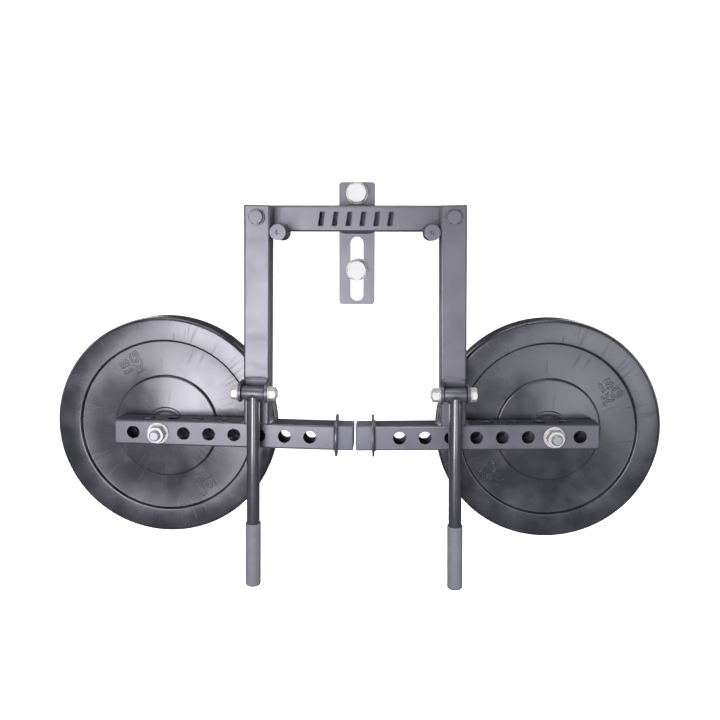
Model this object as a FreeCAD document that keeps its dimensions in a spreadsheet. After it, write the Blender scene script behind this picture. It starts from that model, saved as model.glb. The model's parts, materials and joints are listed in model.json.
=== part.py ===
import FreeCAD, Part
import os
import Sketcher

# Plate-loaded lateral-raise lever arms for a power rack, in millimetres.
# Frame: +X to the right seen from the front, +Y back towards the rack, +Z up.
# Origin: rear face of the mounting plate, on the axis of the upper rack bolt.
# The right-hand arm is modelled about its own pivot and hung from it; the left-hand
# pieces are its mirror images in the YZ plane.

SIZES = [
    # square tube used all through the frame
    ("tube_size", 50),
    ("tube_wall", 3),
    ("tube_corner", 4),
    # mounting plate
    ("mount_width", 72),
    ("mount_thick", 6),
    ("mount_above", 22),
    ("mount_height", 244),
    ("mount_corner", 6),
    ("rack_hole", 26),
    ("rack_pitch", 50.8),
    ("lower_pitches", 3),
    ("slot_top", 86),
    ("slot_bottom", 215),
    # crossbar and stops
    ("crossbar_drop", 51),
    ("crossbar_length", 410),
    ("panel_slot_width", 10),
    ("panel_slot_lean", 4),
    ("panel_slot_height", 27),
    ("panel_slot_pitch", 27),
    ("panel_slot_count", 6),
    ("panel_slot_drop", 1),
    ("cap_lip", 2),
    ("cap_plug", 10),
    ("arm_cap_plug", 6),
    ("cap_wall", 2.5),
    ("cap_clear", 0.2),
    ("cap_edge", 1.5),
    ("stop_gap", 0.3),
    ("stop_drop", 28),
    ("stop_radius", 15),
    ("stop_reach", 60),
    ("stop_under", 20),
    ("stop_socket", 8),
    ("stop_socket_depth", 6),
    # rack bolts
    ("rack_bolt_radius", 12),
    ("rack_bolt_relief", 0.2),
    ("rack_bolt_point", 2),
    ("rack_head_flats", 36),
    ("rack_head_high", 15),
    ("rack_washer_radius", 22),
    ("rack_washer_hole", 12.5),
    ("rack_washer_thick", 4),
    ("rack_depth", 75),
    ("rack_nut_high", 20),
    ("rack_bolt_end", 6),
    # arm pivot
    ("pivot_end", 20),
    ("rest_splay", 1.1),
    ("pivot_radius", 8),
    ("running_gap", 0.05),
    ("bolt_gap", 0.25),
    ("sleeve_radius", 13),
    ("bush_radius", 10.5),
    ("bush_long", 18),
    ("bush_flange", 15),
    ("bush_flange_thick", 1.5),
    ("m16_flats", 24),
    ("m16_head", 10),
    ("m16_nut", 13),
    ("m16_washer_radius", 15),
    ("m16_washer_thick", 3),
    ("arm_spacing", 4),
    ("thread_end", 3),
    ("bolt_point", 1.5),
    ("hex_turned", 0.07),
    # arm
    ("post_above", 21),
    ("bar_drop", 423),
    ("centre_gap", 3.35),
    ("bar_outer", 280),
    ("hole_radius", 12.5),
    ("hole_pitch", 50),
    ("hole_first", -105),
    ("front_holes", 8),
    ("top_hole_first", 70),
    ("top_holes", 4),
    ("loaded_hole", 6),
    ("flange_radius", 42),
    ("flange_thick", 4),
    ("flange_edge", 0.5),
    ("bumper_long", 32),
    ("bumper_corner", 5),
    ("bumper_edge", 2),
    # handle fork and handle
    ("fork_width", 55),
    ("fork_thick", 5),
    ("fork_bend", 8),
    ("fork_depth", 54),
    ("fork_top", 310),
    ("handle_drop", 20),
    ("handle_forward", 36),
    ("ear_radius", 18),
    ("barrel_radius", 13),
    ("barrel_bush_long", 14),
    ("barrel_end_gap", 0.5),
    ("stem_radius", 12.5),
    ("stem_wall", 3),
    ("grip_radius", 15),
    ("grip_start", 258),
    ("grip_end", 386),
    ("grip_floor", 5),
    ("grip_round", 4),
    # weight post
    ("post_radius", 25),
    ("post_tail_relief", 0.3),
    ("post_wall", 4),
    ("post_long", 140),
    ("post_foot", 8),
    ("post_chamfer", 3),
    ("post_seat_over", 2),
    ("post_cap_lip", 3),
    ("post_cap_plug", 14),
    ("stud_radius", 10),
    ("stud_end", 9),
    ("stud_point", 2),
    ("m20_flats", 30),
    ("m20_nut", 18),
    ("m20_washer_radius", 21),
    ("m20_washer_thick", 3),
    # weight plate
    ("disc_radius", 225),
    ("disc_thick", 52),
    ("disc_bore", 25.4),
    ("disc_gap", 2),
    ("hub_radius", 30),
    ("hub_recess", 1),
    ("lip_radius", 39),
    ("lip_rise", 3),
    ("boss_radius", 103),
    ("rim_radius", 177),
    ("web_recess", 7),
    ("step_slope", 2.5),
    ("rim_round", 8),
]

doc = FreeCAD.newDocument("LateralRaise")
sheet = doc.addObject("Spreadsheet::Sheet", "Spec")
for row, (alias, size) in enumerate(SIZES, start=1):
    sheet.set("A%d" % row, alias)
    sheet.set("B%d" % row, str(size))
    sheet.setAlias("B%d" % row, alias)
doc.recompute()

# Lengths that follow from the driving sizes, as expressions.
CROSSBAR_BACK = "-Spec.mount_thick"
CROSSBAR_FRONT = "-(Spec.mount_thick + Spec.tube_size)"
CROSSBAR_AXIS = "-(Spec.mount_thick + Spec.tube_size / 2)"
ARM_BACK = "-(Spec.mount_thick + Spec.tube_size + Spec.arm_spacing)"
ARM_AXIS = "-(Spec.mount_thick + Spec.tube_size * 1.5 + Spec.arm_spacing)"
ARM_FRONT = "-(Spec.mount_thick + Spec.tube_size * 2 + Spec.arm_spacing)"
BAR_TOP = "-(Spec.bar_drop - Spec.tube_size / 2)"
LOWER_BOLT = "-Spec.rack_pitch * Spec.lower_pitches"
PIVOT_X = "(Spec.crossbar_length / 2 - Spec.pivot_end)"
BAR_INNER = ("((%s - Spec.centre_gap / 2 + (Spec.bar_drop - Spec.tube_size / 2)"
             " * sin(Spec.rest_splay)) / cos(Spec.rest_splay)"
             " - Spec.flange_thick - Spec.bumper_long)" % PIVOT_X)
POST_X = "(Spec.hole_first + Spec.hole_pitch * Spec.loaded_hole)"
HANDLE_Y = "(%s - Spec.handle_forward)" % ARM_FRONT
HANDLE_Z = "-(Spec.fork_top + Spec.handle_drop)"
FORK_INSIDE = "(Spec.fork_width - 2 * Spec.fork_thick)"
POST_SEAT = "(Spec.disc_gap + Spec.disc_thick + 2 * Spec.lip_rise + Spec.post_seat_over)"
STOP_X = (PIVOT_X + " - (Spec.tube_size / 2 + Spec.stop_gap + Spec.stop_radius"
          " - Spec.stop_drop * sin(Spec.rest_splay)) / cos(Spec.rest_splay)")
HEX_CORNER = "/ 2 / cos(30)"

# Turns that send a piece's own Z along another axis.
UP = "rotation(vector(0; 0; 1); 0)"
ALONG_X = "rotation(vector(0; 1; 0); 90)"
ALONG_X_BACK = "rotation(vector(0; 1; 0); -90)"
ALONG_Y = "rotation(vector(1; 0; 0); -90)"
TOWARD_FRONT = "rotation(vector(1; 0; 0); 90)"

# The arm hangs from its pivot, leaning outwards by the rest splay.
FIXED = None
ARM = ("placement(vector(%s; 0; -Spec.crossbar_drop);"
       " rotation(vector(0; 1; 0); -Spec.rest_splay))" % PIVOT_X)

# A sketch's points start this far out, before its constraints move them.
FIRST_GUESS = FreeCAD.Vector(50, 0, 0)
# Two measures closer than this are the same when edges are picked, in millimetres.
SAME = 0.01

RIGHT_NODES = []
NODES = []


def place(obj, carrier, x="0", y="0", z="0", turn=UP):
    """Put an object at a point of its carrier's frame, by expression."""
    local = "placement(vector(%s; %s; %s); %s)" % (x, y, z, turn)
    obj.setExpression("Placement", local if carrier is None else "%s * %s" % (carrier, local))
    return obj


def finish_node(obj, label, carrier=FIXED):
    """Name a finished sub-part; what hangs on the right is mirrored later."""
    obj.Label = label
    if carrier is ARM or label.startswith("right_"):
        RIGHT_NODES.append(obj)
    else:
        NODES.append(obj)
    return obj


# ---- sketch helpers: every sketch is centred on its own origin ----------------------

def origin_plane(body, role):
    return [f for f in body.Origin.OriginFeatures if f.Role == role][0]


def new_sketch(body, role="XY_Plane", x="0", y="0", z="0"):
    sketch = body.newObject("Sketcher::SketchObject", "Sketch")
    sketch.AttachmentSupport = [(origin_plane(body, role), "")]
    sketch.MapMode = "FlatFace"
    sketch.setExpression("AttachmentOffset.Base.x", x)
    sketch.setExpression("AttachmentOffset.Base.y", y)
    sketch.setExpression("AttachmentOffset.Base.z", z)
    return sketch


def bind(sketch, index, expression):
    sketch.setExpression("Constraints[%d]" % index, expression)


def polygon(sketch, points):
    """Closed outline through points given as (x, y) expressions from the sketch origin."""
    start = sketch.GeometryCount
    count = len(points)
    guess = [FIRST_GUESS]
    turn = FreeCAD.Rotation(FreeCAD.Vector(0, 0, 1), 360.0 / count)
    for _ in range(count - 1):
        guess.append(turn.multVec(guess[-1]))
    for k in range(count):
        sketch.addGeometry(Part.LineSegment(guess[k], guess[(k + 1) % count]), False)
    for k in range(count):
        sketch.addConstraint(
            Sketcher.Constraint("Coincident", start + k, 2, start + (k + 1) % count, 1))
    for k, (x, y) in enumerate(points):
        index = sketch.addConstraint(
            Sketcher.Constraint("DistanceX", -1, 1, start + k, 1, guess[k].x))
        bind(sketch, index, x)
        index = sketch.addConstraint(
            Sketcher.Constraint("DistanceY", -1, 1, start + k, 1, guess[k].y))
        bind(sketch, index, y)


def rectangle(sketch, width, height):
    """Rectangle centred on the sketch origin."""
    w, t = "(%s) / 2" % width, "(%s) / 2" % height
    polygon(sketch, [("-" + w, "-" + t), (w, "-" + t), (w, t), ("-" + w, t)])


def circle(sketch, radius, x="0", y="0"):
    index = sketch.addGeometry(
        Part.Circle(FIRST_GUESS, FreeCAD.Vector(0, 0, 1), FIRST_GUESS.Length), False)
    bind(sketch, sketch.addConstraint(Sketcher.Constraint("DistanceX", -1, 1, index, 3, 1)), x)
    bind(sketch, sketch.addConstraint(Sketcher.Constraint("DistanceY", -1, 1, index, 3, 1)), y)
    bind(sketch, sketch.addConstraint(
        Sketcher.Constraint("Radius", index, FIRST_GUESS.Length)), radius)


# ---- PartDesign helpers --------------------------------------------------------------

def new_body(name):
    return doc.addObject("PartDesign::Body", name)


def pad(body, sketch, length, midplane=False, reversed_=False):
    feature = body.newObject("PartDesign::Pad", "Pad")
    feature.Profile = sketch
    feature.Midplane = midplane
    feature.Reversed = reversed_
    feature.setExpression("Length", length)
    doc.recompute()
    return feature


def cut_through(body, sketch):
    """Pocket through everything, both ways from its sketch."""
    feature = body.newObject("PartDesign::Pocket", "Pocket")
    feature.Profile = sketch
    feature.Type = "ThroughAll"
    feature.Midplane = True
    doc.recompute()
    return feature


def repeat(body, feature, sketch, count, pitch, axis):
    """Linear pattern along one of the sketch's own axes."""
    pattern = body.newObject("PartDesign::LinearPattern", "Row")
    pattern.Originals = [feature]
    pattern.Direction = (sketch, [axis])
    pattern.Mode = "Spacing"
    pattern.setExpression("Occurrences", count)
    pattern.setExpression("Offset", pitch)
    body.Tip = pattern
    doc.recompute()
    return pattern


def revolve(body, sketch, axis="V_Axis"):
    feature = body.newObject("PartDesign::Revolution", "Revolution")
    feature.Profile = sketch
    feature.ReferenceAxis = (sketch, [axis])
    feature.Angle = 360
    doc.recompute()
    return feature


def dress(body, kind, base, edges, size):
    """Fillet or chamfer on chosen edges of the last feature."""
    feature = body.newObject("PartDesign::" + kind, kind)
    feature.Base = (base, edges)
    feature.setExpression("Radius" if kind == "Fillet" else "Size", size)
    doc.recompute()
    return feature


def named_edges(shape, direction):
    """Straight edges parallel to a direction, each with its name."""
    found = []
    for k, edge in enumerate(shape.Edges, start=1):
        if not isinstance(edge.Curve, Part.Line):
            continue
        if abs(edge.tangentAt(edge.FirstParameter).dot(direction)) > 1 - SAME:
            found.append(("Edge%d" % k, edge))
    return found


def edges_along(shape, direction):
    return [name for name, edge in named_edges(shape, direction)]


def ring_edges(shape, radius, z=None):
    """Names of the round edges of a radius, at one height or at any."""
    names = []
    for k, edge in enumerate(shape.Edges, start=1):
        if not isinstance(edge.Curve, Part.Circle) or abs(edge.Curve.Radius - radius) > SAME:
            continue
        if z is None or abs(edge.Curve.Center.z - z) < SAME:
            names.append("Edge%d" % k)
    return names


def square_tube(body, length, z="0"):
    """Rolled square tube along the body's own Z: rounded outside, open inside."""
    outer = new_sketch(body, z=z)
    rectangle(outer, "Spec.tube_size", "Spec.tube_size")
    solid = pad(body, outer, length)
    rounded = dress(body, "Fillet", solid,
                    edges_along(solid.Shape, FreeCAD.Vector(0, 0, 1)), "Spec.tube_corner")
    inner = new_sketch(body, z=z)
    rectangle(inner, "Spec.tube_size - 2 * Spec.tube_wall", "Spec.tube_size - 2 * Spec.tube_wall")
    cut_through(body, inner)
    return rounded


# ---- Part primitive helpers ----------------------------------------------------------

def cylinder(radius, height, z="0", name="Cylinder"):
    obj = doc.addObject("Part::Cylinder", name)
    obj.setExpression("Radius", radius)
    obj.setExpression("Height", height)
    obj.setExpression("Placement.Base.z", z)
    return obj


def cone(radius_low, radius_high, height, z="0"):
    obj = doc.addObject("Part::Cone", "Cone")
    obj.setExpression("Radius1", radius_low)
    obj.setExpression("Radius2", radius_high)
    obj.setExpression("Height", height)
    obj.setExpression("Placement.Base.z", z)
    return obj


def prism(flats, height, z="0"):
    obj = doc.addObject("Part::Prism", "Hexagon")
    obj.Polygon = 6
    obj.setExpression("Circumradius", "%s %s" % (flats, HEX_CORNER))
    obj.setExpression("Height", height)
    obj.setExpression("Placement.Base.z", z)
    return obj


def fuse(parts, name="Fusion"):
    obj = doc.addObject("Part::MultiFuse", name)
    obj.Shapes = parts
    obj.Refine = True
    return obj


def cut(base, tool, name="Cut"):
    obj = doc.addObject("Part::Cut", name)
    obj.Base = base
    obj.Tool = tool
    return obj


def compound(parts):
    obj = doc.addObject("Part::Compound", "Group")
    obj.Links = parts
    return obj


def mirrored(source):
    """Mirror image in the YZ plane."""
    obj = doc.addObject("Part::Mirroring", "Mirror")
    obj.Source = source
    obj.Base = FreeCAD.Vector(0, 0, 0)
    obj.Normal = FreeCAD.Vector(1, 0, 0)
    return obj


def common(parts):
    obj = doc.addObject("Part::MultiCommon", "Common")
    obj.Shapes = parts
    return obj


def hex_block(flats, height, z="0"):
    """Hexagon with its corners turned off at the top, as on a bolt head or nut."""
    corner = "(%s %s)" % (flats, HEX_CORNER)
    facing = cone("%s + (%s) / 2" % (corner, height),
                  "%s - %s * Spec.hex_turned" % (corner, flats), height, z)
    return common([prism(flats, height, z), facing])


def washer(radius, hole, thick, z="0"):
    return cut(cylinder(radius, thick, z), cylinder(hole, thick, z), "Washer")


def hex_nut(flats, hole, height, z="0"):
    return cut(hex_block(flats, height, z), cylinder(hole, height, z), "Nut")


def hex_bolt(flats, head, radius, grip, z="0"):
    """Bolt with its head above z and its shank below it."""
    tip = cone("%s - Spec.bolt_point" % radius, radius, "Spec.bolt_point", "%s - (%s)" % (z, grip))
    shank = cylinder(radius, "%s - Spec.bolt_point" % grip, "%s - (%s) + Spec.bolt_point" % (z, grip))
    return fuse([hex_block(flats, head, z), shank, tip], "Bolt")


# ---- fixed bracket -------------------------------------------------------------------

def make_mount_plate():
    """Laser-cut plate: a bolt hole at the top and an adjusting slot below it."""
    body = new_body("mount_plate_body")
    outline = new_sketch(body, "XZ_Plane", y="Spec.mount_above - Spec.mount_height / 2")
    rectangle(outline, "Spec.mount_width", "Spec.mount_height")
    slab = pad(body, outline, "Spec.mount_thick")
    dress(body, "Fillet", slab, edges_along(slab.Shape, FreeCAD.Vector(0, 1, 0)), "Spec.mount_corner")
    hole = new_sketch(body, "XZ_Plane")
    circle(hole, "Spec.rack_hole / 2")
    cut_through(body, hole)
    middle = "-(Spec.slot_top + Spec.slot_bottom) / 2"
    straight = "Spec.slot_bottom - Spec.slot_top - Spec.rack_hole"
    slot = new_sketch(body, "XZ_Plane", y=middle)
    rectangle(slot, "Spec.rack_hole", straight)
    cut_through(body, slot)
    for side in ("+", "-"):
        end = new_sketch(body, "XZ_Plane", y="%s %s (%s) / 2" % (middle, side, straight))
        circle(end, "Spec.rack_hole / 2")
        cut_through(body, end)
    place(body, FIXED)
    finish_node(body, "mount_plate")


def make_crossbar():
    """Square tube along X, with leaning slots through its front wall."""
    body = new_body("crossbar_body")
    square_tube(body, "Spec.crossbar_length", z="-Spec.crossbar_length / 2")
    place(body, FIXED, y=CROSSBAR_AXIS, z="-Spec.crossbar_drop", turn=ALONG_X)
    for side in ("", "-"):
        pivot = new_sketch(body, "XZ_Plane", y=side + PIVOT_X)
        circle(pivot, "Spec.pivot_radius + Spec.bolt_gap")
        cut_through(body, pivot)
    # in this body X runs down and Z runs along the bar, so the slots lie on their sides
    first = "-Spec.panel_slot_pitch * (Spec.panel_slot_count - 1) / 2"
    slot = new_sketch(body, "XZ_Plane", x="Spec.panel_slot_drop", y=first,
                      z="Spec.tube_size / 2")
    half, lean = "Spec.panel_slot_height / 2", "Spec.panel_slot_lean / 2"
    wide = "Spec.panel_slot_width / 2"
    polygon(slot, [("-" + half, "%s - %s" % (lean, wide)), (half, "-%s - %s" % (lean, wide)),
                   (half, "%s - %s" % (wide, lean)), ("-" + half, "%s + %s" % (wide, lean))])
    pocket = body.newObject("PartDesign::Pocket", "PanelSlot")
    pocket.Profile = slot
    pocket.setExpression("Length", "Spec.tube_size / 2")
    doc.recompute()
    repeat(body, pocket, slot, "Spec.panel_slot_count", "Spec.panel_slot_pitch", "V_Axis")
    finish_node(body, "crossbar")


def cap_solid(name, depth="Spec.cap_plug"):
    """Plastic tube cap: a lip with an eased edge and a hollow plug below it, along Z."""
    body = new_body(name)
    face = new_sketch(body)
    rectangle(face, "Spec.tube_size", "Spec.tube_size")
    lip = pad(body, face, "Spec.cap_lip")
    lip = dress(body, "Fillet", lip, edges_along(lip.Shape, FreeCAD.Vector(0, 0, 1)),
                "Spec.tube_corner")
    top = ["Edge%d" % k for k, edge in enumerate(lip.Shape.Edges, start=1)
           if edge.BoundBox.ZMin > sheet.cap_lip / 2]
    dress(body, "Fillet", lip, top, "Spec.cap_edge")
    inside = "Spec.tube_size - 2 * Spec.tube_wall - 2 * Spec.cap_clear"
    plug = new_sketch(body)
    rectangle(plug, inside, inside)
    pad(body, plug, depth, reversed_=True)
    hollow = new_sketch(body, z="-%s" % depth)
    rectangle(hollow, "%s - 2 * Spec.cap_wall" % inside, "%s - 2 * Spec.cap_wall" % inside)
    pocket = body.newObject("PartDesign::Pocket", "Hollow")
    pocket.Profile = hollow
    pocket.Reversed = True
    pocket.setExpression("Length", depth)
    doc.recompute()
    return body


def make_crossbar_caps():
    cap = place(cap_solid("crossbar_cap"), FIXED, x="Spec.crossbar_length / 2",
                y=CROSSBAR_AXIS, z="-Spec.crossbar_drop", turn=ALONG_X)
    finish_node(compound([cap, mirrored(cap)]), "crossbar_caps")


def make_stop():
    """Round bar under the end of the crossbar, coped over its lower front edge."""
    length = "Spec.stop_reach + Spec.stop_under"
    bar = cylinder("Spec.stop_radius", length, "-Spec.stop_under")
    seat = doc.addObject("Part::Box", "CrossbarSeat")
    seat.setExpression("Length", "4 * Spec.stop_radius")
    seat.setExpression("Width", "Spec.tube_size")
    seat.setExpression("Height", "Spec.tube_size")
    # in the stop's own frame Y is up and Z is towards the front
    place(seat, FIXED, x="-2 * Spec.stop_radius", y="Spec.stop_drop - Spec.tube_size / 2",
          z="-Spec.tube_size")
    socket = prism("Spec.stop_socket", "Spec.stop_socket_depth",
                   "Spec.stop_reach - Spec.stop_socket_depth")
    stop = cut(cut(bar, seat), socket)
    place(stop, FIXED, x=STOP_X, y=CROSSBAR_FRONT, z="-(Spec.crossbar_drop + Spec.stop_drop)",
          turn=TOWARD_FRONT)
    finish_node(stop, "right_stop")


def make_rack_fixings():
    """Two bolts through the plate and the rack upright, with their washers and nuts."""
    bolts, washers, nuts, back_washers = [], [], [], []
    relief = "(Spec.rack_bolt_radius - Spec.rack_bolt_relief)"
    head = "Spec.mount_thick + Spec.rack_washer_thick"
    point = "Spec.rack_bolt_point"
    tail = "Spec.rack_washer_thick + Spec.rack_nut_high + Spec.rack_bolt_end"
    for z in ("0", LOWER_BOLT):
        bolt = fuse([
            hex_block("Spec.rack_head_flats", "Spec.rack_head_high", head),
            cylinder(relief, head),
            cylinder("Spec.rack_bolt_radius", "Spec.rack_depth", "-Spec.rack_depth"),
            cylinder(relief, "%s - %s" % (tail, point), "-(Spec.rack_depth + %s - %s)" % (tail, point)),
            cone("%s - %s" % (relief, point), relief, point, "-(Spec.rack_depth + %s)" % tail)])
        bolts.append(place(bolt, FIXED, z=z, turn=TOWARD_FRONT))
        front = washer("Spec.rack_washer_radius", "Spec.rack_washer_hole",
                       "Spec.rack_washer_thick", "Spec.mount_thick")
        washers.append(place(front, FIXED, z=z, turn=TOWARD_FRONT))
        back = washer("Spec.rack_washer_radius", "Spec.rack_washer_hole",
                      "Spec.rack_washer_thick", "Spec.rack_depth")
        back_washers.append(place(back, FIXED, z=z, turn=ALONG_Y))
        nut = hex_nut("Spec.rack_head_flats", relief, "Spec.rack_nut_high",
                      "Spec.rack_depth + Spec.rack_washer_thick")
        nuts.append(place(nut, FIXED, z=z, turn=ALONG_Y))
    finish_node(compound(bolts), "rack_bolts")
    finish_node(compound(washers), "rack_washers")
    finish_node(compound(back_washers), "rack_back_washers")
    finish_node(compound(nuts), "rack_nuts")


def make_pivot_fixings():
    """The bolt that an arm swings on, held in the crossbar."""
    at_pivot = {"x": PIVOT_X, "z": "-Spec.crossbar_drop"}
    seat = "(%s - Spec.bush_flange_thick)" % ARM_FRONT
    head_y = "(%s - Spec.m16_washer_thick)" % seat
    grip = "-%s + (%s) + Spec.m16_washer_thick + Spec.m16_nut + Spec.thread_end" % (
        head_y, CROSSBAR_BACK)
    bolt = hex_bolt("Spec.m16_flats", "Spec.m16_head", "Spec.pivot_radius", "(%s)" % grip)
    place(bolt, FIXED, y=head_y, turn=TOWARD_FRONT, **at_pivot)
    finish_node(bolt, "right_pivot_bolt")
    hole = "Spec.pivot_radius + Spec.bolt_gap"
    front = place(washer("Spec.m16_washer_radius", hole, "Spec.m16_washer_thick"),
                  FIXED, y=seat, turn=TOWARD_FRONT, **at_pivot)
    spacer = place(washer("Spec.m16_washer_radius", hole,
                          "Spec.arm_spacing - Spec.bush_flange_thick"),
                   FIXED, y=CROSSBAR_FRONT, turn=TOWARD_FRONT, **at_pivot)
    back = place(washer("Spec.m16_washer_radius", hole, "Spec.m16_washer_thick"),
                 FIXED, y=CROSSBAR_BACK, turn=ALONG_Y, **at_pivot)
    one_side = [front, spacer, back]
    finish_node(compound(one_side + [mirrored(w) for w in one_side]), "pivot_washers")
    nut = place(hex_nut("Spec.m16_flats", "Spec.pivot_radius", "Spec.m16_nut"), FIXED,
                y="%s + Spec.m16_washer_thick" % CROSSBAR_BACK, turn=ALONG_Y, **at_pivot)
    finish_node(compound([nut, mirrored(nut)]), "pivot_nuts")


# ---- arm, in the frame of its pivot ----------------------------------------------------

def make_arm_post():
    body = new_body("arm_post_body")
    square_tube(body, "Spec.post_above - (%s)" % BAR_TOP, z=BAR_TOP)
    pivot = new_sketch(body, "XZ_Plane")
    circle(pivot, "Spec.sleeve_radius")
    cut_through(body, pivot)
    place(body, ARM, y=ARM_AXIS)
    finish_node(body, "right_arm_post", ARM)
    cap = place(cap_solid("arm_cap_body", "Spec.arm_cap_plug"), ARM, y=ARM_AXIS, z="Spec.post_above")
    finish_node(cap, "right_arm_cap", ARM)


def flanged_bush(outer, bore, flange, thick, long):
    """Bush with its flange below z = 0 and its barrel above it."""
    solid = fuse([cylinder(outer, long), cylinder(flange, thick, "-" + thick)])
    return cut(solid, cylinder(bore, "%s + %s" % (long, thick), "-" + thick), "Bush")


def make_pivot_bearing():
    """Steel sleeve welded through the post, with a flanged bush in each end."""
    sleeve = cut(cylinder("Spec.sleeve_radius", "Spec.tube_size"),
                 cylinder("Spec.bush_radius", "Spec.tube_size"))
    place(sleeve, ARM, y=ARM_FRONT, turn=ALONG_Y)
    finish_node(sleeve, "right_pivot_sleeve", ARM)
    bushes = []
    for y, turn in ((ARM_FRONT, ALONG_Y), (ARM_BACK, TOWARD_FRONT)):
        bush = flanged_bush("Spec.bush_radius", "Spec.pivot_radius + Spec.running_gap",
                            "Spec.bush_flange", "Spec.bush_flange_thick", "Spec.bush_long")
        bushes.append(place(bush, ARM, y=y, turn=turn))
    finish_node(compound(bushes), "right_pivot_bushes", ARM)


def make_load_bar():
    """Square tube with a row of holes front to back and a shorter row top to bottom."""
    body = new_body("load_bar_body")
    square_tube(body, BAR_INNER + " + Spec.bar_outer", z="-" + BAR_INNER)
    rows = (("XZ_Plane", "Spec.hole_first", "Spec.front_holes"),
            ("YZ_Plane", "Spec.top_hole_first", "Spec.top_holes"))
    for role, first, count in rows:
        hole = new_sketch(body, role, y=first)
        circle(hole, "Spec.hole_radius")
        drilled = cut_through(body, hole)
        repeat(body, drilled, hole, count, "Spec.hole_pitch", "V_Axis")
    place(body, ARM, y=ARM_AXIS, z="-Spec.bar_drop", turn=ALONG_X)
    finish_node(body, "right_load_bar", ARM)
    cap = place(cap_solid("bar_cap_body"), ARM, x="Spec.bar_outer", y=ARM_AXIS,
                z="-Spec.bar_drop", turn=ALONG_X)
    finish_node(cap, "right_bar_cap", ARM)


def make_bar_end():
    """Round flange on the inner end of the bar, and the bumper block beyond it."""
    at_bar = {"y": ARM_AXIS, "z": "-Spec.bar_drop", "turn": ALONG_X}
    disc = doc.addObject("Part::Chamfer", "FlangeEdge")
    disc.Base = cylinder("Spec.flange_radius", "Spec.flange_thick")
    doc.recompute()
    size = sheet.flange_edge
    disc.Edges = [(k, size, size) for k, edge in enumerate(disc.Base.Shape.Edges, start=1)
                  if isinstance(edge.Curve, Part.Circle)]
    place(disc, ARM, x="-(%s + Spec.flange_thick)" % BAR_INNER, **at_bar)
    finish_node(disc, "right_end_flange", ARM)
    body = new_body("bumper_body")
    face = new_sketch(body, z="-Spec.bumper_long")
    rectangle(face, "Spec.tube_size", "Spec.tube_size")
    block = pad(body, face, "Spec.bumper_long")
    block = dress(body, "Fillet", block, edges_along(block.Shape, FreeCAD.Vector(0, 0, 1)),
                  "Spec.bumper_corner")
    end = ["Edge%d" % k for k, edge in enumerate(block.Shape.Edges, start=1)
           if edge.BoundBox.ZMax < 1 - sheet.bumper_long]
    dress(body, "Fillet", block, end, "Spec.bumper_edge")
    place(body, ARM, x="-(%s + Spec.flange_thick)" % BAR_INNER, **at_bar)
    finish_node(body, "right_bumper", ARM)


def make_handle_fork():
    """Bent plate fork on the front of the post: a web on top and two rounded ears."""
    body = new_body("handle_fork_body")
    drop = "(Spec.handle_drop + Spec.ear_radius)"
    front = new_sketch(body, "XZ_Plane", y="-Spec.fork_top", z="-(%s)" % ARM_FRONT)
    half, inner = "Spec.fork_width / 2", FORK_INSIDE + " / 2"
    polygon(front, [("-" + half, "0"), ("-" + half, "-" + drop), ("-" + inner, "-" + drop),
                    ("-" + inner, "-Spec.fork_thick"), (inner, "-Spec.fork_thick"),
                    (inner, "-" + drop), (half, "-" + drop), (half, "0")])
    fork = pad(body, front, "Spec.fork_depth")
    top = -sheet.fork_top
    outer = [n for n, e in named_edges(fork.Shape, FreeCAD.Vector(0, 1, 0)) if e.BoundBox.ZMax > top - 1]
    fork = dress(body, "Fillet", fork, outer, "Spec.fork_bend")
    inner_edges = [n for n, e in named_edges(fork.Shape, FreeCAD.Vector(0, 1, 0))
                   if abs(e.BoundBox.ZMax - (top - sheet.fork_thick)) < 0.5
                   and abs(abs(e.BoundBox.XMax) - sheet.fork_width / 2 + sheet.fork_thick) < 0.5]
    fork = dress(body, "Fillet", fork, inner_edges, "Spec.fork_bend - Spec.fork_thick")
    nose = [n for n, e in named_edges(fork.Shape, FreeCAD.Vector(1, 0, 0))
            if e.BoundBox.ZMax < top - sheet.handle_drop
            and e.BoundBox.YMax < fork.Shape.BoundBox.YMin + 1]
    dress(body, "Fillet", fork, nose, "Spec.ear_radius")
    hole = new_sketch(body, "YZ_Plane", x=HANDLE_Y, y=HANDLE_Z)
    circle(hole, "Spec.pivot_radius + Spec.bolt_gap")
    cut_through(body, hole)
    place(body, ARM)
    finish_node(body, "right_handle_fork", ARM)


def make_handle_fixings():
    """Bolt, nut and washers that carry the handle in its fork."""
    at_handle = {"y": HANDLE_Y, "z": HANDLE_Z}
    reach = "(Spec.fork_width / 2 + Spec.m16_washer_thick)"
    grip = "(2 * %s + Spec.m16_nut + Spec.thread_end)" % reach
    bolt = hex_bolt("Spec.m16_flats", "Spec.m16_head", "Spec.pivot_radius", grip)
    finish_node(place(bolt, ARM, x=reach, turn=ALONG_X, **at_handle), "right_handle_bolt", ARM)
    nut = hex_nut("Spec.m16_flats", "Spec.pivot_radius", "Spec.m16_nut")
    finish_node(place(nut, ARM, x="-" + reach, turn=ALONG_X_BACK, **at_handle),
                "right_handle_nut", ARM)
    washers = []
    for side, turn in (("", ALONG_X), ("-", ALONG_X_BACK)):
        ring = washer("Spec.m16_washer_radius", "Spec.pivot_radius + Spec.bolt_gap",
                      "Spec.m16_washer_thick")
        washers.append(place(ring, ARM, x="%sSpec.fork_width / 2" % side, turn=turn, **at_handle))
    finish_node(compound(washers), "right_handle_washers", ARM)


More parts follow.
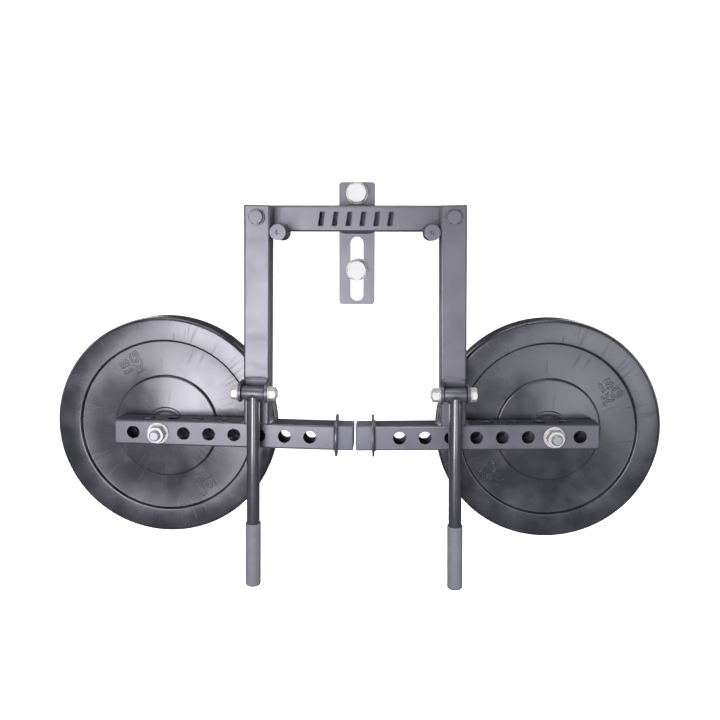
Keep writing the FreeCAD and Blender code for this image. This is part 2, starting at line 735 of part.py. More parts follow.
def make_handle():
    """Swinging handle: barrel and bushes on the bolt, round stem, rubber grip."""
    long = "(%s - 2 * (Spec.bush_flange_thick + Spec.barrel_end_gap))" % FORK_INSIDE
    barrel = cut(cylinder("Spec.barrel_radius", long), cylinder("Spec.bush_radius", long))
    place(barrel, ARM, x="-%s / 2" % long, y=HANDLE_Y, z=HANDLE_Z, turn=ALONG_X)
    finish_node(barrel, "right_handle_barrel", ARM)
    bushes = []
    for side, turn in (("-", ALONG_X), ("", ALONG_X_BACK)):
        bush = flanged_bush("Spec.bush_radius", "Spec.pivot_radius + Spec.running_gap",
                            "Spec.barrel_radius", "Spec.bush_flange_thick",
                            "Spec.barrel_bush_long")
        bushes.append(place(bush, ARM, x="%s%s / 2" % (side, long), y=HANDLE_Y, z=HANDLE_Z,
                            turn=turn))
    finish_node(compound(bushes), "right_handle_bushes", ARM)
    end = "(Spec.grip_end - Spec.grip_floor)"
    rod = cut(cylinder("Spec.stem_radius", end, "-" + end),
              cylinder("Spec.stem_radius - Spec.stem_wall", end, "-" + end))
    saddle = cylinder("Spec.barrel_radius", "4 * Spec.barrel_radius")
    place(saddle, FIXED, x="-2 * Spec.barrel_radius", turn=ALONG_X)
    stem = place(cut(rod, saddle), ARM, y=HANDLE_Y, z=HANDLE_Z)
    finish_node(stem, "right_handle_stem", ARM)
    body = new_body("handle_grip_body")
    section = new_sketch(body, "XZ_Plane")
    polygon(section, [("Spec.stem_radius", "-Spec.grip_start"),
                      ("Spec.grip_radius", "-Spec.grip_start"),
                      ("Spec.grip_radius", "-Spec.grip_end"), ("0", "-Spec.grip_end"),
                      ("0", "-" + end), ("Spec.stem_radius", "-" + end)])
    sleeve = revolve(body, section)
    rounded = ring_edges(sleeve.Shape, sheet.grip_radius, -sheet.grip_end)
    dress(body, "Fillet", sleeve, rounded, "Spec.grip_round")
    place(body, ARM, y=HANDLE_Y, z=HANDLE_Z)
    finish_node(body, "right_handle_grip", ARM)


def make_plate_post():
    """Peg behind the bar for the weight plate, with a stud through the bar and a nut."""
    at_post = {"x": POST_X, "z": "-Spec.bar_drop"}
    stud = "(Spec.tube_size + Spec.m20_washer_thick + Spec.m20_nut + Spec.stud_end)"
    tail = "(Spec.post_radius - Spec.post_tail_relief)"
    straight = "(Spec.post_long - Spec.post_chamfer)"
    solid = fuse([
        cone("Spec.stud_radius - Spec.stud_point", "Spec.stud_radius", "Spec.stud_point", "-" + stud),
        cylinder("Spec.stud_radius", "%s - Spec.stud_point" % stud, "-%s + Spec.stud_point" % stud),
        cylinder("Spec.post_radius", POST_SEAT),
        cylinder(tail, "%s - %s" % (straight, POST_SEAT), POST_SEAT),
        cone(tail, "%s - Spec.post_chamfer / 2" % tail, "Spec.post_chamfer", straight)])
    bore = cylinder("Spec.post_radius - Spec.post_wall", "Spec.post_long", "Spec.post_foot")
    post = place(cut(solid, bore), ARM, y=ARM_BACK, turn=ALONG_Y, **at_post)
    finish_node(post, "right_plate_post", ARM)
    plug = "(Spec.post_radius - Spec.post_wall - Spec.cap_clear)"
    cap = cut(fuse([cylinder("%s - Spec.post_chamfer / 2" % tail, "Spec.post_cap_lip"),
                    cylinder(plug, "Spec.post_cap_plug", "-Spec.post_cap_plug")]),
              cylinder("%s - Spec.cap_wall" % plug, "Spec.post_cap_plug", "-Spec.post_cap_plug"))
    place(cap, ARM, y="%s + Spec.post_long" % ARM_BACK, turn=ALONG_Y, **at_post)
    finish_node(cap, "right_post_cap", ARM)
    ring = washer("Spec.m20_washer_radius", "Spec.stud_radius + Spec.bolt_gap",
                  "Spec.m20_washer_thick")
    finish_node(place(ring, ARM, y=ARM_FRONT, turn=TOWARD_FRONT, **at_post),
                "right_post_washer", ARM)
    nut = hex_nut("Spec.m20_flats", "Spec.stud_radius", "Spec.m20_nut", "Spec.m20_washer_thick")
    finish_node(place(nut, ARM, y=ARM_FRONT, turn=TOWARD_FRONT, **at_post),
                "right_post_nut", ARM)


def make_weight_plate():
    """Rubber disc with a raised rim and boss, a lip round its steel hub, alike both sides."""
    at_post = {"x": POST_X, "y": "%s + Spec.disc_gap" % ARM_BACK, "z": "-Spec.bar_drop"}
    whole = "(Spec.disc_thick + 2 * Spec.lip_rise)"
    # one face as (radius, depth below the lip), repeated from the other side
    face = [("Spec.hub_radius", "0"), ("Spec.lip_radius", "0"),
            ("Spec.lip_radius + Spec.step_slope / 2", "Spec.lip_rise"),
            ("Spec.boss_radius", "Spec.lip_rise"),
            ("Spec.boss_radius + Spec.step_slope", "Spec.lip_rise + Spec.web_recess"),
            ("Spec.rim_radius - Spec.step_slope", "Spec.lip_rise + Spec.web_recess"),
            ("Spec.rim_radius", "Spec.lip_rise"), ("Spec.disc_radius", "Spec.lip_rise")]
    back = [(r, "%s - (%s)" % (whole, depth)) for r, depth in reversed(face)]
    body = new_body("disc_rubber_body")
    section = new_sketch(body, "XZ_Plane")
    polygon(section, face + back)
    disc = revolve(body, section)
    edges = ring_edges(disc.Shape, sheet.disc_radius)
    dress(body, "Fillet", disc, edges, "Spec.rim_round")
    finish_node(place(body, ARM, turn=ALONG_Y, **at_post), "right_disc_rubber", ARM)
    length = "%s - 2 * Spec.hub_recess" % whole
    hub = cut(cylinder("Spec.hub_radius", length, "Spec.hub_recess"),
              cylinder("Spec.disc_bore", length, "Spec.hub_recess"))
    finish_node(place(hub, ARM, turn=ALONG_Y, **at_post), "right_disc_hub", ARM)


def export_nodes():
    """Check every object of the document, then write one file for each node."""
    doc.recompute()
    for obj in doc.Objects:
        if "Invalid" in obj.State or "Error" in obj.State:
            raise RuntimeError("%s failed: %s" % (obj.Label, obj.State))
    for node in NODES:
        if node.Shape.isNull() or not node.Shape.isValid():
            raise RuntimeError("%s has no valid shape" % node.Label)
    os.makedirs("parts", exist_ok=True)
    for node in NODES:
        node.Shape.exportStep("parts/%s.step" % node.Label)


def main():
    make_mount_plate()
    make_crossbar()
    make_crossbar_caps()
    make_stop()
    make_rack_fixings()
    make_pivot_fixings()
    make_arm_post()
    make_pivot_bearing()
    make_load_bar()
    make_bar_end()
    make_handle_fork()
    make_handle_fixings()
    make_handle()
    make_plate_post()
    make_weight_plate()
    doc.recompute()
    for right in RIGHT_NODES:
        left = mirrored(right)
        left.Label = right.Label.replace("right_", "left_")
        NODES.extend([right, left])
    export_nodes()


main()
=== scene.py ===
"""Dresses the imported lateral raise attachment: finishes, welds, threads, moulded discs, studio.

Everything is in metres in the part's own frame: +X to the right seen from the front, +Y back
towards the rack upright, +Z up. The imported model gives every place; the sizes named here are
those of the dressing itself.
"""

import json
import logging
import math
from collections.abc import Sequence
from dataclasses import dataclass, field
from enum import Enum
from typing import Any

import bmesh
import bpy
from mathutils import Matrix, Vector


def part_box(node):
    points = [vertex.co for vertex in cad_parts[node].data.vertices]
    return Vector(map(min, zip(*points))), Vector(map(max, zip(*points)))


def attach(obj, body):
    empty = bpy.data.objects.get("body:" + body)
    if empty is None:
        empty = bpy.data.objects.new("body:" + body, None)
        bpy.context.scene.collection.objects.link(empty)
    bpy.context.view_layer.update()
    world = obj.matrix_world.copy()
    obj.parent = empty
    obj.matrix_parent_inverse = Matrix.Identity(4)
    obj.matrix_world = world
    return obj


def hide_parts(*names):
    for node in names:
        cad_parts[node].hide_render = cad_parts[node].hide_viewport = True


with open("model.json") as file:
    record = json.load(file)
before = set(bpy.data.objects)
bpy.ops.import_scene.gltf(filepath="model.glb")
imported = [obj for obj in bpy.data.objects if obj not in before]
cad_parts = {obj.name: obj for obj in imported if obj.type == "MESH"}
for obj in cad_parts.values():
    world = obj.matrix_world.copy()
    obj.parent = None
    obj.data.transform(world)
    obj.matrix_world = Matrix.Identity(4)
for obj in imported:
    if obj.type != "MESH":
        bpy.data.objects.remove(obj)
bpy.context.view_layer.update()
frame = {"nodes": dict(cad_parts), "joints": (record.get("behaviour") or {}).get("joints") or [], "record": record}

LOG = logging.getLogger("lateral_raise")
MM = 0.001


class Side(Enum):
    """The two arms; the value starts the names of their nodes and bodies."""

    LEFT = "left"
    RIGHT = "right"

    @property
    def sign(self) -> int:
        """Which way is outwards along the frame's X."""
        return 1 if self is Side.RIGHT else -1


# ---- materials ---------------------------------------------------------------------------


def linear(code: str) -> tuple[float, float, float, float]:
    """Turns an sRGB hex colour into linear RGBA.

    Args:
        code: Six hex digits after a hash, such as "#46464d".

    Returns:
        The colour as four numbers that a shader socket takes.
    """
    parts = [int(code[i : i + 2], 16) / 255 for i in (1, 3, 5)]
    done = [c / 12.92 if c <= 0.04045 else ((c + 0.055) / 1.055) ** 2.4 for c in parts]
    return (done[0], done[1], done[2], 1.0)


def scale_of(size: float) -> float:
    """Texture scale at which one cell of a pattern is this many metres across."""
    return 1 / size


def add_node(
    tree: bpy.types.NodeTree,
    kind: str,
    settings: dict[str | int, Any] | None = None,
    links: dict[str | int, bpy.types.NodeSocket] | None = None,
) -> bpy.types.Node:
    """Adds one node with its settings and links.

    Args:
        tree: The node tree that gets the node.
        kind: The node's type name.
        settings: Values by input name or number, or by the node's own attribute.
        links: Output sockets by the name or number of the input that each feeds.

    Returns:
        The new node.
    """
    node = tree.nodes.new(kind)
    for name, value in (settings or {}).items():
        if isinstance(name, int) or name in node.inputs:
            node.inputs[name].default_value = value
        else:
            setattr(node, name, value)
    for name, socket in (links or {}).items():
        tree.links.new(socket, node.inputs[name])
    return node


def ramp(
    tree: bpy.types.NodeTree,
    socket: bpy.types.NodeSocket,
    low: float,
    high: float,
    span: tuple[float, float] = (0.3, 0.7),
) -> bpy.types.NodeSocket:
    """Spreads a pattern's middle range over new limits.

    Args:
        tree: The node tree.
        socket: The pattern.
        low: The result at the start of the span.
        high: The result at its end.
        span: The part of the pattern's range that is spread.

    Returns:
        The socket with the result.
    """
    spread = add_node(
        tree,
        "ShaderNodeMapRange",
        {"From Min": span[0], "From Max": span[1], "To Min": low, "To Max": high},
        {"Value": socket},
    )
    return spread.outputs["Result"]


@dataclass(frozen=True)
class Finish:
    """A surface with cloudy tone, uneven gloss and a fine relief; each finish is one of these.

    Attributes:
        name: The material's name.
        colour: Its darker tone, sRGB hex.
        lighter: Its lighter tone, sRGB hex.
        roughness: Its glossier and duller limits.
        cloud: Width of a patch of tone, in metres.
        grain: Width of a cell of the fine relief, in metres.
        relief: Height of the fine relief, in metres.
        metallic: 1 for bare or plated metal.
        ior: Index of refraction; metals keep the default.
        specular: Strength of the mirror-like part; dusty skins have less than 0.5.
        coat: Weight of a clear glossy layer.
        coat_roughness: How dull that layer is.
    """

    name: str
    colour: str
    lighter: str
    roughness: tuple[float, float]
    cloud: float = 60 * MM
    grain: float = 4 * MM
    relief: float = 0.05 * MM
    metallic: float = 0.0
    ior: float = 1.5
    specular: float = 0.5
    coat: float = 0.0
    coat_roughness: float = 0.08

    def build(self) -> bpy.types.Material:
        """Makes the material.

        Returns:
            A node material in object coordinates, so it stays with its piece in every pose.
        """
        material = bpy.data.materials.new(self.name)
        material.use_nodes = True
        tree = material.node_tree
        tree.nodes.clear()
        settings: dict[str | int, Any] = {"Metallic": self.metallic}
        if not self.metallic:
            settings.update({"IOR": self.ior, "Specular IOR Level": self.specular})
        if self.coat:
            settings.update({"Coat Weight": self.coat, "Coat Roughness": self.coat_roughness})
        shader = add_node(tree, "ShaderNodeBsdfPrincipled", settings)
        add_node(tree, "ShaderNodeOutputMaterial", links={"Surface": shader.outputs["BSDF"]})
        place = add_node(tree, "ShaderNodeTexCoord").outputs["Object"]
        self.dress(tree, shader, place)
        return material

    def dress(
        self,
        tree: bpy.types.NodeTree,
        shader: bpy.types.Node,
        place: bpy.types.NodeSocket,
    ) -> None:
        """Links tone, gloss and relief to the shader.

        Args:
            tree: The material's nodes.
            shader: Its Principled shader.
            place: Object coordinates.
        """
        clouds = self.clouds(tree, place)
        self.paint(tree, shader, clouds)
        fine = add_node(
            tree,
            "ShaderNodeTexNoise",
            {"Scale": scale_of(self.grain), "Detail": 3.0, "Roughness": 0.6},
            {"Vector": place},
        )
        self.bump(tree, shader, fine.outputs["Fac"])

    def clouds(
        self, tree: bpy.types.NodeTree, place: bpy.types.NodeSocket
    ) -> bpy.types.NodeSocket:
        """Broad patches with soft, slightly twisted edges.

        Args:
            tree: The material's nodes.
            place: Object coordinates.

        Returns:
            The socket with the patches.
        """
        noise = add_node(
            tree,
            "ShaderNodeTexNoise",
            {"Scale": scale_of(self.cloud), "Detail": 4.0, "Roughness": 0.55, "Distortion": 0.6},
            {"Vector": place},
        )
        return noise.outputs["Fac"]

    def paint(
        self,
        tree: bpy.types.NodeTree,
        shader: bpy.types.Node,
        pattern: bpy.types.NodeSocket,
    ) -> None:
        """Lets a pattern move the colour between its two tones and the gloss between its limits.

        Args:
            tree: The material's nodes.
            shader: Its Principled shader.
            pattern: What moves them.
        """
        share = ramp(tree, pattern, 0.0, 1.0)
        mix = add_node(
            tree,
            "ShaderNodeMix",
            {"data_type": "RGBA", 6: linear(self.colour), 7: linear(self.lighter)},
            {0: share},
        )
        tree.links.new(mix.outputs[2], shader.inputs["Base Color"])
        gloss = ramp(tree, pattern, *self.roughness)
        tree.links.new(gloss, shader.inputs["Roughness"])

    def bump(
        self,
        tree: bpy.types.NodeTree,
        shader: bpy.types.Node,
        height: bpy.types.NodeSocket,
    ) -> None:
        """Turns a height pattern into the shader's surface relief.

        Args:
            tree: The material's nodes.
            shader: Its Principled shader.
            height: The pattern.
        """
        relief = add_node(
            tree,
            "ShaderNodeBump",
            {"Distance": self.relief, "Strength": 1.0},
            {"Height": height},
        )
        tree.links.new(relief.outputs["Normal"], shader.inputs["Normal"])


@dataclass(frozen=True)
class PowderCoat(Finish):
    """Satin polyester powder coat on mild steel: melted grains leave an orange-peel relief.

    The real relief repeats every 1 to 2 mm; it is drawn at 4 mm so that it shows.
    """


@dataclass(frozen=True)
class ZincPlate(Finish):
    """Bright electro-plated zinc on rolled steel: pale, with fine lines left by drawing.

    Attributes:
        draw: Width of a line, in metres; ten times a real one's, so that it shows.
        draw_share: How the pattern is scaled along the lines, which makes them long.
    """

    draw: float = 1.2 * MM
    draw_share: float = 0.15

    def dress(
        self,
        tree: bpy.types.NodeTree,
        shader: bpy.types.Node,
        place: bpy.types.NodeSocket,
    ) -> None:
        """Links the plating's patches, and lines drawn along the piece.

        Args:
            tree: The material's nodes.
            shader: Its Principled shader.
            place: Object coordinates.
        """
        clouds = self.clouds(tree, place)
        self.paint(tree, shader, clouds)
        stretched = add_node(
            tree,
            "ShaderNodeMapping",
            {"Scale": (1.0, self.draw_share, 1.0)},
            {"Vector": place},
        )
        lines = add_node(
            tree,
            "ShaderNodeTexNoise",
            {"Scale": scale_of(self.draw), "Detail": 2.0},
            {"Vector": stretched.outputs["Vector"]},
        )
        self.bump(tree, shader, lines.outputs["Fac"])


@dataclass(frozen=True)
class TurnedSteel(Finish):
    """Steel turned on a lathe: rings round the axis, which catch the light as fine lines.

    Attributes:
        ring: Distance between rings, in metres; real ones are 0.2 mm apart and wouldn't show.
    """

    ring: float = 1.5 * MM

    def dress(
        self,
        tree: bpy.types.NodeTree,
        shader: bpy.types.Node,
        place: bpy.types.NodeSocket,
    ) -> None:
        """Links clouds of oxide and the lathe's rings along the depth of the piece.

        Args:
            tree: The material's nodes.
            shader: Its Principled shader.
            place: Object coordinates.
        """
        clouds = self.clouds(tree, place)
        self.paint(tree, shader, clouds)
        rings = add_node(
            tree,
            "ShaderNodeTexWave",
            {"bands_direction": "Y", "Scale": scale_of(self.ring) / math.tau, "Distortion": 0.3},
            {"Vector": place},
        )
        self.bump(tree, shader, rings.outputs["Fac"])


@dataclass(frozen=True)
class MouldedRubber(Finish):
    """Compression-moulded black rubber about its own Y axis, with a broad soft sheen.

    Bloom leaves paler, duller clouds; pulling the disc out of its mould and wiping it leaves
    short radial strokes that are darker and duller than the skin round them.

    Attributes:
        bloom: Width of a cloud of bloom, in metres.
        bloom_tone: Colour of the bloom, sRGB hex.
        stroke_tone: Colour of the strokes.
        stroke_angle: Width of a stroke, in radians about the disc's centre.
        stroke_length: Length of a stroke along the radius, in metres.
        dulling: How much rougher bloom and strokes leave the skin.
    """

    bloom: float = 45 * MM
    bloom_tone: str = "#37373e"
    stroke_tone: str = "#141418"
    stroke_angle: float = 0.035
    stroke_length: float = 60 * MM
    dulling: float = 0.14

    def dress(
        self,
        tree: bpy.types.NodeTree,
        shader: bpy.types.Node,
        place: bpy.types.NodeSocket,
    ) -> None:
        """Links bloom, radial strokes and a fine mould texture.

        Args:
            tree: The material's nodes.
            shader: Its Principled shader.
            place: Object coordinates.
        """
        clouds = self.clouds(tree, place)
        self.paint(tree, shader, clouds)
        bloom = add_node(
            tree,
            "ShaderNodeTexNoise",
            {"Scale": scale_of(self.bloom), "Detail": 2.0, "Roughness": 0.4, "Distortion": 0.2},
            {"Vector": place},
        )
        pale = ramp(tree, bloom.outputs["Fac"], 0.0, 0.6, (0.44, 0.8))
        strokes = self.strokes(tree, place, bloom.outputs["Fac"])
        skin = shader.inputs["Base Color"].links[0].from_socket
        gloss = shader.inputs["Roughness"].links[0].from_socket
        for share, tone in ((pale, self.bloom_tone), (strokes, self.stroke_tone)):
            mix = add_node(
                tree,
                "ShaderNodeMix",
                {"data_type": "RGBA", 7: linear(tone)},
                {0: share, 6: skin},
            )
            skin = mix.outputs[2]
            gloss = add_node(
                tree,
                "ShaderNodeMath",
                {"operation": "MULTIPLY_ADD", 1: self.dulling},
                {0: share, 2: gloss},
            ).outputs[0]
        tree.links.new(skin, shader.inputs["Base Color"])
        tree.links.new(gloss, shader.inputs["Roughness"])
        fine = add_node(
            tree,
            "ShaderNodeTexNoise",
            {"Scale": scale_of(self.grain), "Detail": 4.0, "Roughness": 0.7},
            {"Vector": place},
        )
        self.bump(tree, shader, fine.outputs["Fac"])

    def strokes(
        self,
        tree: bpy.types.NodeTree,
        place: bpy.types.NodeSocket,
        patches: bpy.types.NodeSocket,
    ) -> bpy.types.NodeSocket:
        """Noise stretched along the radius, kept to the pattern's darker patches.

        Args:
            tree: The material's nodes.
            place: Coordinates from the disc's centre.
            patches: Where strokes gather.

        Returns:
            The socket with the share of stroke.
        """
        flat = add_node(
            tree,
            "ShaderNodeVectorMath",
            {"operation": "MULTIPLY", 1: (1.0, 0.0, 1.0)},
            {0: place},
        ).outputs[0]
        radius = add_node(
            tree, "ShaderNodeVectorMath", {"operation": "LENGTH"}, {0: flat}
        ).outputs["Value"]
        ring = add_node(
            tree, "ShaderNodeVectorMath", {"operation": "NORMALIZE"}, {0: flat}
        ).outputs[0]
        spread = add_node(
            tree,
            "ShaderNodeVectorMath",
            {"operation": "SCALE", "Scale": 1 / self.stroke_angle},
            {0: ring},
        ).outputs[0]
        depth = add_node(
            tree,
            "ShaderNodeMath",
            {"operation": "MULTIPLY", 1: scale_of(self.stroke_length)},
            {0: radius},
        ).outputs[0]
        along = add_node(tree, "ShaderNodeCombineXYZ", links={1: depth}).outputs[0]
        where = add_node(
            tree, "ShaderNodeVectorMath", {"operation": "ADD"}, {0: spread, 1: along}
        ).outputs[0]
        noise = add_node(
            tree, "ShaderNodeTexNoise", {"Scale": 1.0, "Detail": 2.0}, {"Vector": where}
        )
        stroke = ramp(tree, noise.outputs["Fac"], 0.0, 1.0, (0.56, 0.72))
        gather = ramp(tree, patches, 1.0, 0.15, (0.38, 0.56))
        return add_node(
            tree, "ShaderNodeMath", {"operation": "MULTIPLY"}, {0: stroke, 1: gather}
        ).outputs[0]


FINISHES: dict[str, Finish] = {
    # Powder coat baked on mild steel: an even near-black with a broad, slightly blurred shine.
    "frame_paint": PowderCoat(
        "satin_black_powder_coat", "#2d2d34", "#36363e", (0.34, 0.45), relief=0.03 * MM
    ),
    # Bolt steel dipped in black coating: a shade paler and finer-grained than the frame.
    "black_bolt": PowderCoat(
        "coated_bolt_steel", "#303036", "#3a3a41", (0.38, 0.48), grain=2 * MM, relief=0.02 * MM
    ),
    # Enamel sprayed on a polished rod: deep black with one narrow streak of light along it.
    "stem_gloss": PowderCoat(
        "gloss_black_enamel", "#202025", "#28282d", (0.28, 0.34), coat=0.3, relief=0.02 * MM
    ),
    # Zinc plated on forged bolts: pale grey that blurs what it mirrors, mottled by the bath.
    "zinc": ZincPlate(
        "bright_zinc_plate",
        "#9f9e9b",
        "#acaba8",
        (0.66, 0.74),
        cloud=18 * MM,
        relief=0.004 * MM,
        metallic=1.0,
    ),
    # Drawn tube under dull chrome: mid grey with a long soft highlight.
    "post_steel": TurnedSteel(
        "chromed_tube_steel",
        "#707377",
        "#7e8185",
        (0.52, 0.6),
        cloud=40 * MM,
        relief=0.01 * MM,
        metallic=1.0,
    ),
    # Cast insert with a turned bore: dark grey rings that glint round the hole.
    "hub_steel": TurnedSteel(
        "turned_insert_steel",
        "#3f4043",
        "#4c4d51",
        (0.4, 0.5),
        cloud=20 * MM,
        relief=0.03 * MM,
        metallic=1.0,
    ),
    # Bronze sintered and soaked in oil: a dull brown rim, barely brighter than the paint.
    "bronze": TurnedSteel(
        "sintered_bronze",
        "#3d3934",
        "#48423a",
        (0.38, 0.5),
        cloud=10 * MM,
        relief=0.02 * MM,
        metallic=1.0,
    ),
    # Polyethylene injection-moulded in an etched mould: black with a fine grain and waxy shine.
    "cap_plastic": Finish(
        "moulded_polyethylene",
        "#242427",
        "#2c2c30",
        (0.42, 0.52),
        grain=1.6 * MM,
        relief=0.05 * MM,
        ior=1.51,
    ),
    # Rubber moulded in a block: matte, and rubbed a little paler than the paint beside it.
    "bumper_rubber": Finish(
        "moulded_bumper_rubber",
        "#3b3b43",
        "#474750",
        (0.5, 0.62),
        cloud=25 * MM,
        grain=2 * MM,
        relief=0.06 * MM,
        ior=1.52,
    ),
    # Rubber sleeve ground matte for the hand: mid grey that hardly shines.
    "grip_rubber": Finish(
        "matte_grip_rubber",
        "#4a4b4f",
        "#545559",
        (0.72, 0.82),
        cloud=30 * MM,
        grain=2.2 * MM,
        relief=0.12 * MM,
        ior=1.52,
    ),
    # Rubber pressed in a polished mould: black whose low sheen turns grey in the light.
    "disc_rubber": MouldedRubber(
        "compression_moulded_rubber",
        "#1b1b1f",
        "#242429",
        (0.19, 0.26),
        cloud=110 * MM,
        grain=3 * MM,
        relief=0.015 * MM,
        ior=1.52,
        specular=0.35,
    ),
}
MATERIALS: dict[str, bpy.types.Material] = {
    slot: finish.build() for slot, finish in FINISHES.items()
}


# ---- pieces ------------------------------------------------------------------------------


def add_piece(
    name: str,
    mesh: bmesh.types.BMesh,
    slot: str,
    body: str,
    smooth_angle: float = 35.0,
    place: Vector | None = None,
) -> bpy.types.Object:
    """Turns built geometry into a named piece that rides on a body in one finish.

    Args:
        name: The piece's name.
        mesh: The geometry, in the row frame; it is freed here.
        slot: The record's material slot.
        body: The body that the piece moves with.
        smooth_angle: Edges sharper than this many degrees stay crisp.
        place: Where the piece's own origin is, if the geometry is built about it.

    Returns:
        The new object.
    """
    bmesh.ops.recalc_face_normals(mesh, faces=mesh.faces)
    data = bpy.data.meshes.new(name)
    mesh.to_mesh(data)
    mesh.free()
    data.shade_smooth()
    data.set_sharp_from_angle(angle=math.radians(smooth_angle))
    data.materials.append(MATERIALS[slot])
    piece = bpy.data.objects.new(name, data)
    bpy.context.scene.collection.objects.link(piece)
    if place is not None:
        piece.location = place
        bpy.context.view_layer.update()
    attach(piece, body)
    LOG.info("piece %s on %s: %d faces", name, body, len(data.polygons))
    return piece


# Points closer than this belong together, and edges sharper than this angle are broken.
SAME_POINT = 0.002 * MM
SHARP_ANGLE = math.radians(40)
# What deburring and paint leave of a sharp edge.
EDGE_BREAK = 0.5 * MM
EDGE_STEPS = 3


def break_edges(piece: bpy.types.Object) -> None:
    """Rounds a piece's sharp edges a little, as deburring does.

    Args:
        piece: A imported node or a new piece.
    """
    join = piece.modifiers.new("join", "WELD")
    join.merge_threshold = SAME_POINT
    edge = piece.modifiers.new("edge", "BEVEL")
    edge.width = EDGE_BREAK
    edge.segments = EDGE_STEPS
    edge.limit_method = "ANGLE"
    edge.angle_limit = SHARP_ANGLE
    edge.harden_normals = True


def place_from(x: Vector, y: Vector, z: Vector, origin: Vector) -> Matrix:
    """A place whose axes and origin are given.

    Args:
        x: Direction of its own X, and so on for the next two.
        y: Direction of its own Y.
        z: Direction of its own Z.
        origin: Where it stands.

    Returns:
        The place.
    """
    place = Matrix.Identity(4)
    for k, column in enumerate((x, y, z, origin)):
        for row in range(3):
            place[row][k] = column[row]
    return place


def join_rings(
    mesh: bmesh.types.BMesh, rings: Sequence[list[bmesh.types.BMVert]], closed: bool = False
) -> None:
    """Skins neighbouring rings of points with quads.

    Args:
        mesh: The mesh that holds the points.
        rings: The rings, with as many points in each.
        closed: Whether the last ring meets the first; if not, both ends are capped.
    """
    following = list(rings[1:]) + (list(rings[:1]) if closed else [])
    for a, b in zip(rings, following):
        for j in range(len(a)):
            k = (j + 1) % len(a)
            mesh.faces.new((a[j], a[k], b[k], b[j]))
    if not closed:
        mesh.faces.new(rings[0])
        mesh.faces.new(list(reversed(rings[-1])))


def line(start: Vector, end: Vector, step: float) -> list[Vector]:
    """Points along a straight run, about a step apart."""
    count = max(2, round((end - start).length / step) + 1)
    return [start.lerp(end, i / (count - 1)) for i in range(count)]


def rounded_corners(
    corners: Sequence[tuple[float, float, float]], segments: int
) -> list[tuple[float, float]]:
    """Replaces each corner of an outline by an arc.

    Args:
        corners: Each corner as (across, along, radius); the outline is closed.
        segments: Straight pieces in each arc.

    Returns:
        The outline's points.
    """
    points: list[tuple[float, float]] = []
    count = len(corners)
    for i, (x, y, radius) in enumerate(corners):
        here = Vector((x, y))
        before = Vector(corners[i - 1][:2]) - here
        after = Vector(corners[(i + 1) % count][:2]) - here
        if radius <= 0:
            points.append((x, y))
            continue
        half = before.angle(after) / 2
        reach = radius / math.tan(half)
        bisector = (before.normalized() + after.normalized()).normalized()
        centre = here + bisector * radius / math.sin(half)
        first = here + before.normalized() * reach - centre
        sweep = math.pi - 2 * half
        turn = 1 if before.x * after.y - before.y * after.x < 0 else -1
        for k in range(segments + 1):
            angle = turn * sweep * k / segments
            c, s = math.cos(angle), math.sin(angle)
            points.append(
                (centre.x + first.x * c - first.y * s, centre.y + first.x * s + first.y * c)
            )
    return points


def rounded_square(half: float, corner: float, segments: int) -> list[tuple[float, float]]:
    """The outline of a square tube.

    Args:
        half: Half the square's width.
        corner: Radius of its corners.
        segments: Straight pieces in each corner.

    Returns:
        The outline's points.
    """
    square = ((half, half), (-half, half), (-half, -half), (half, -half))
    return rounded_corners([(y, z, corner) for y, z in square], segments)


def lathe(outline: Sequence[tuple[float, float]], segments: int) -> bmesh.types.BMesh:
    """Turns a closed outline of (radius, depth) points about the Y axis.

    Args:
        outline: The section's points, none on the axis.
        segments: Steps in the full turn.

    Returns:
        A closed ring of quads about the origin.
    """
    mesh = bmesh.new()
    rings = []
    for k in range(segments):
        angle = math.tau * k / segments
        c, s = math.cos(angle), math.sin(angle)
        rings.append([mesh.verts.new((r * c, y, r * s)) for r, y in outline])
    join_rings(mesh, rings, closed=True)
    return mesh


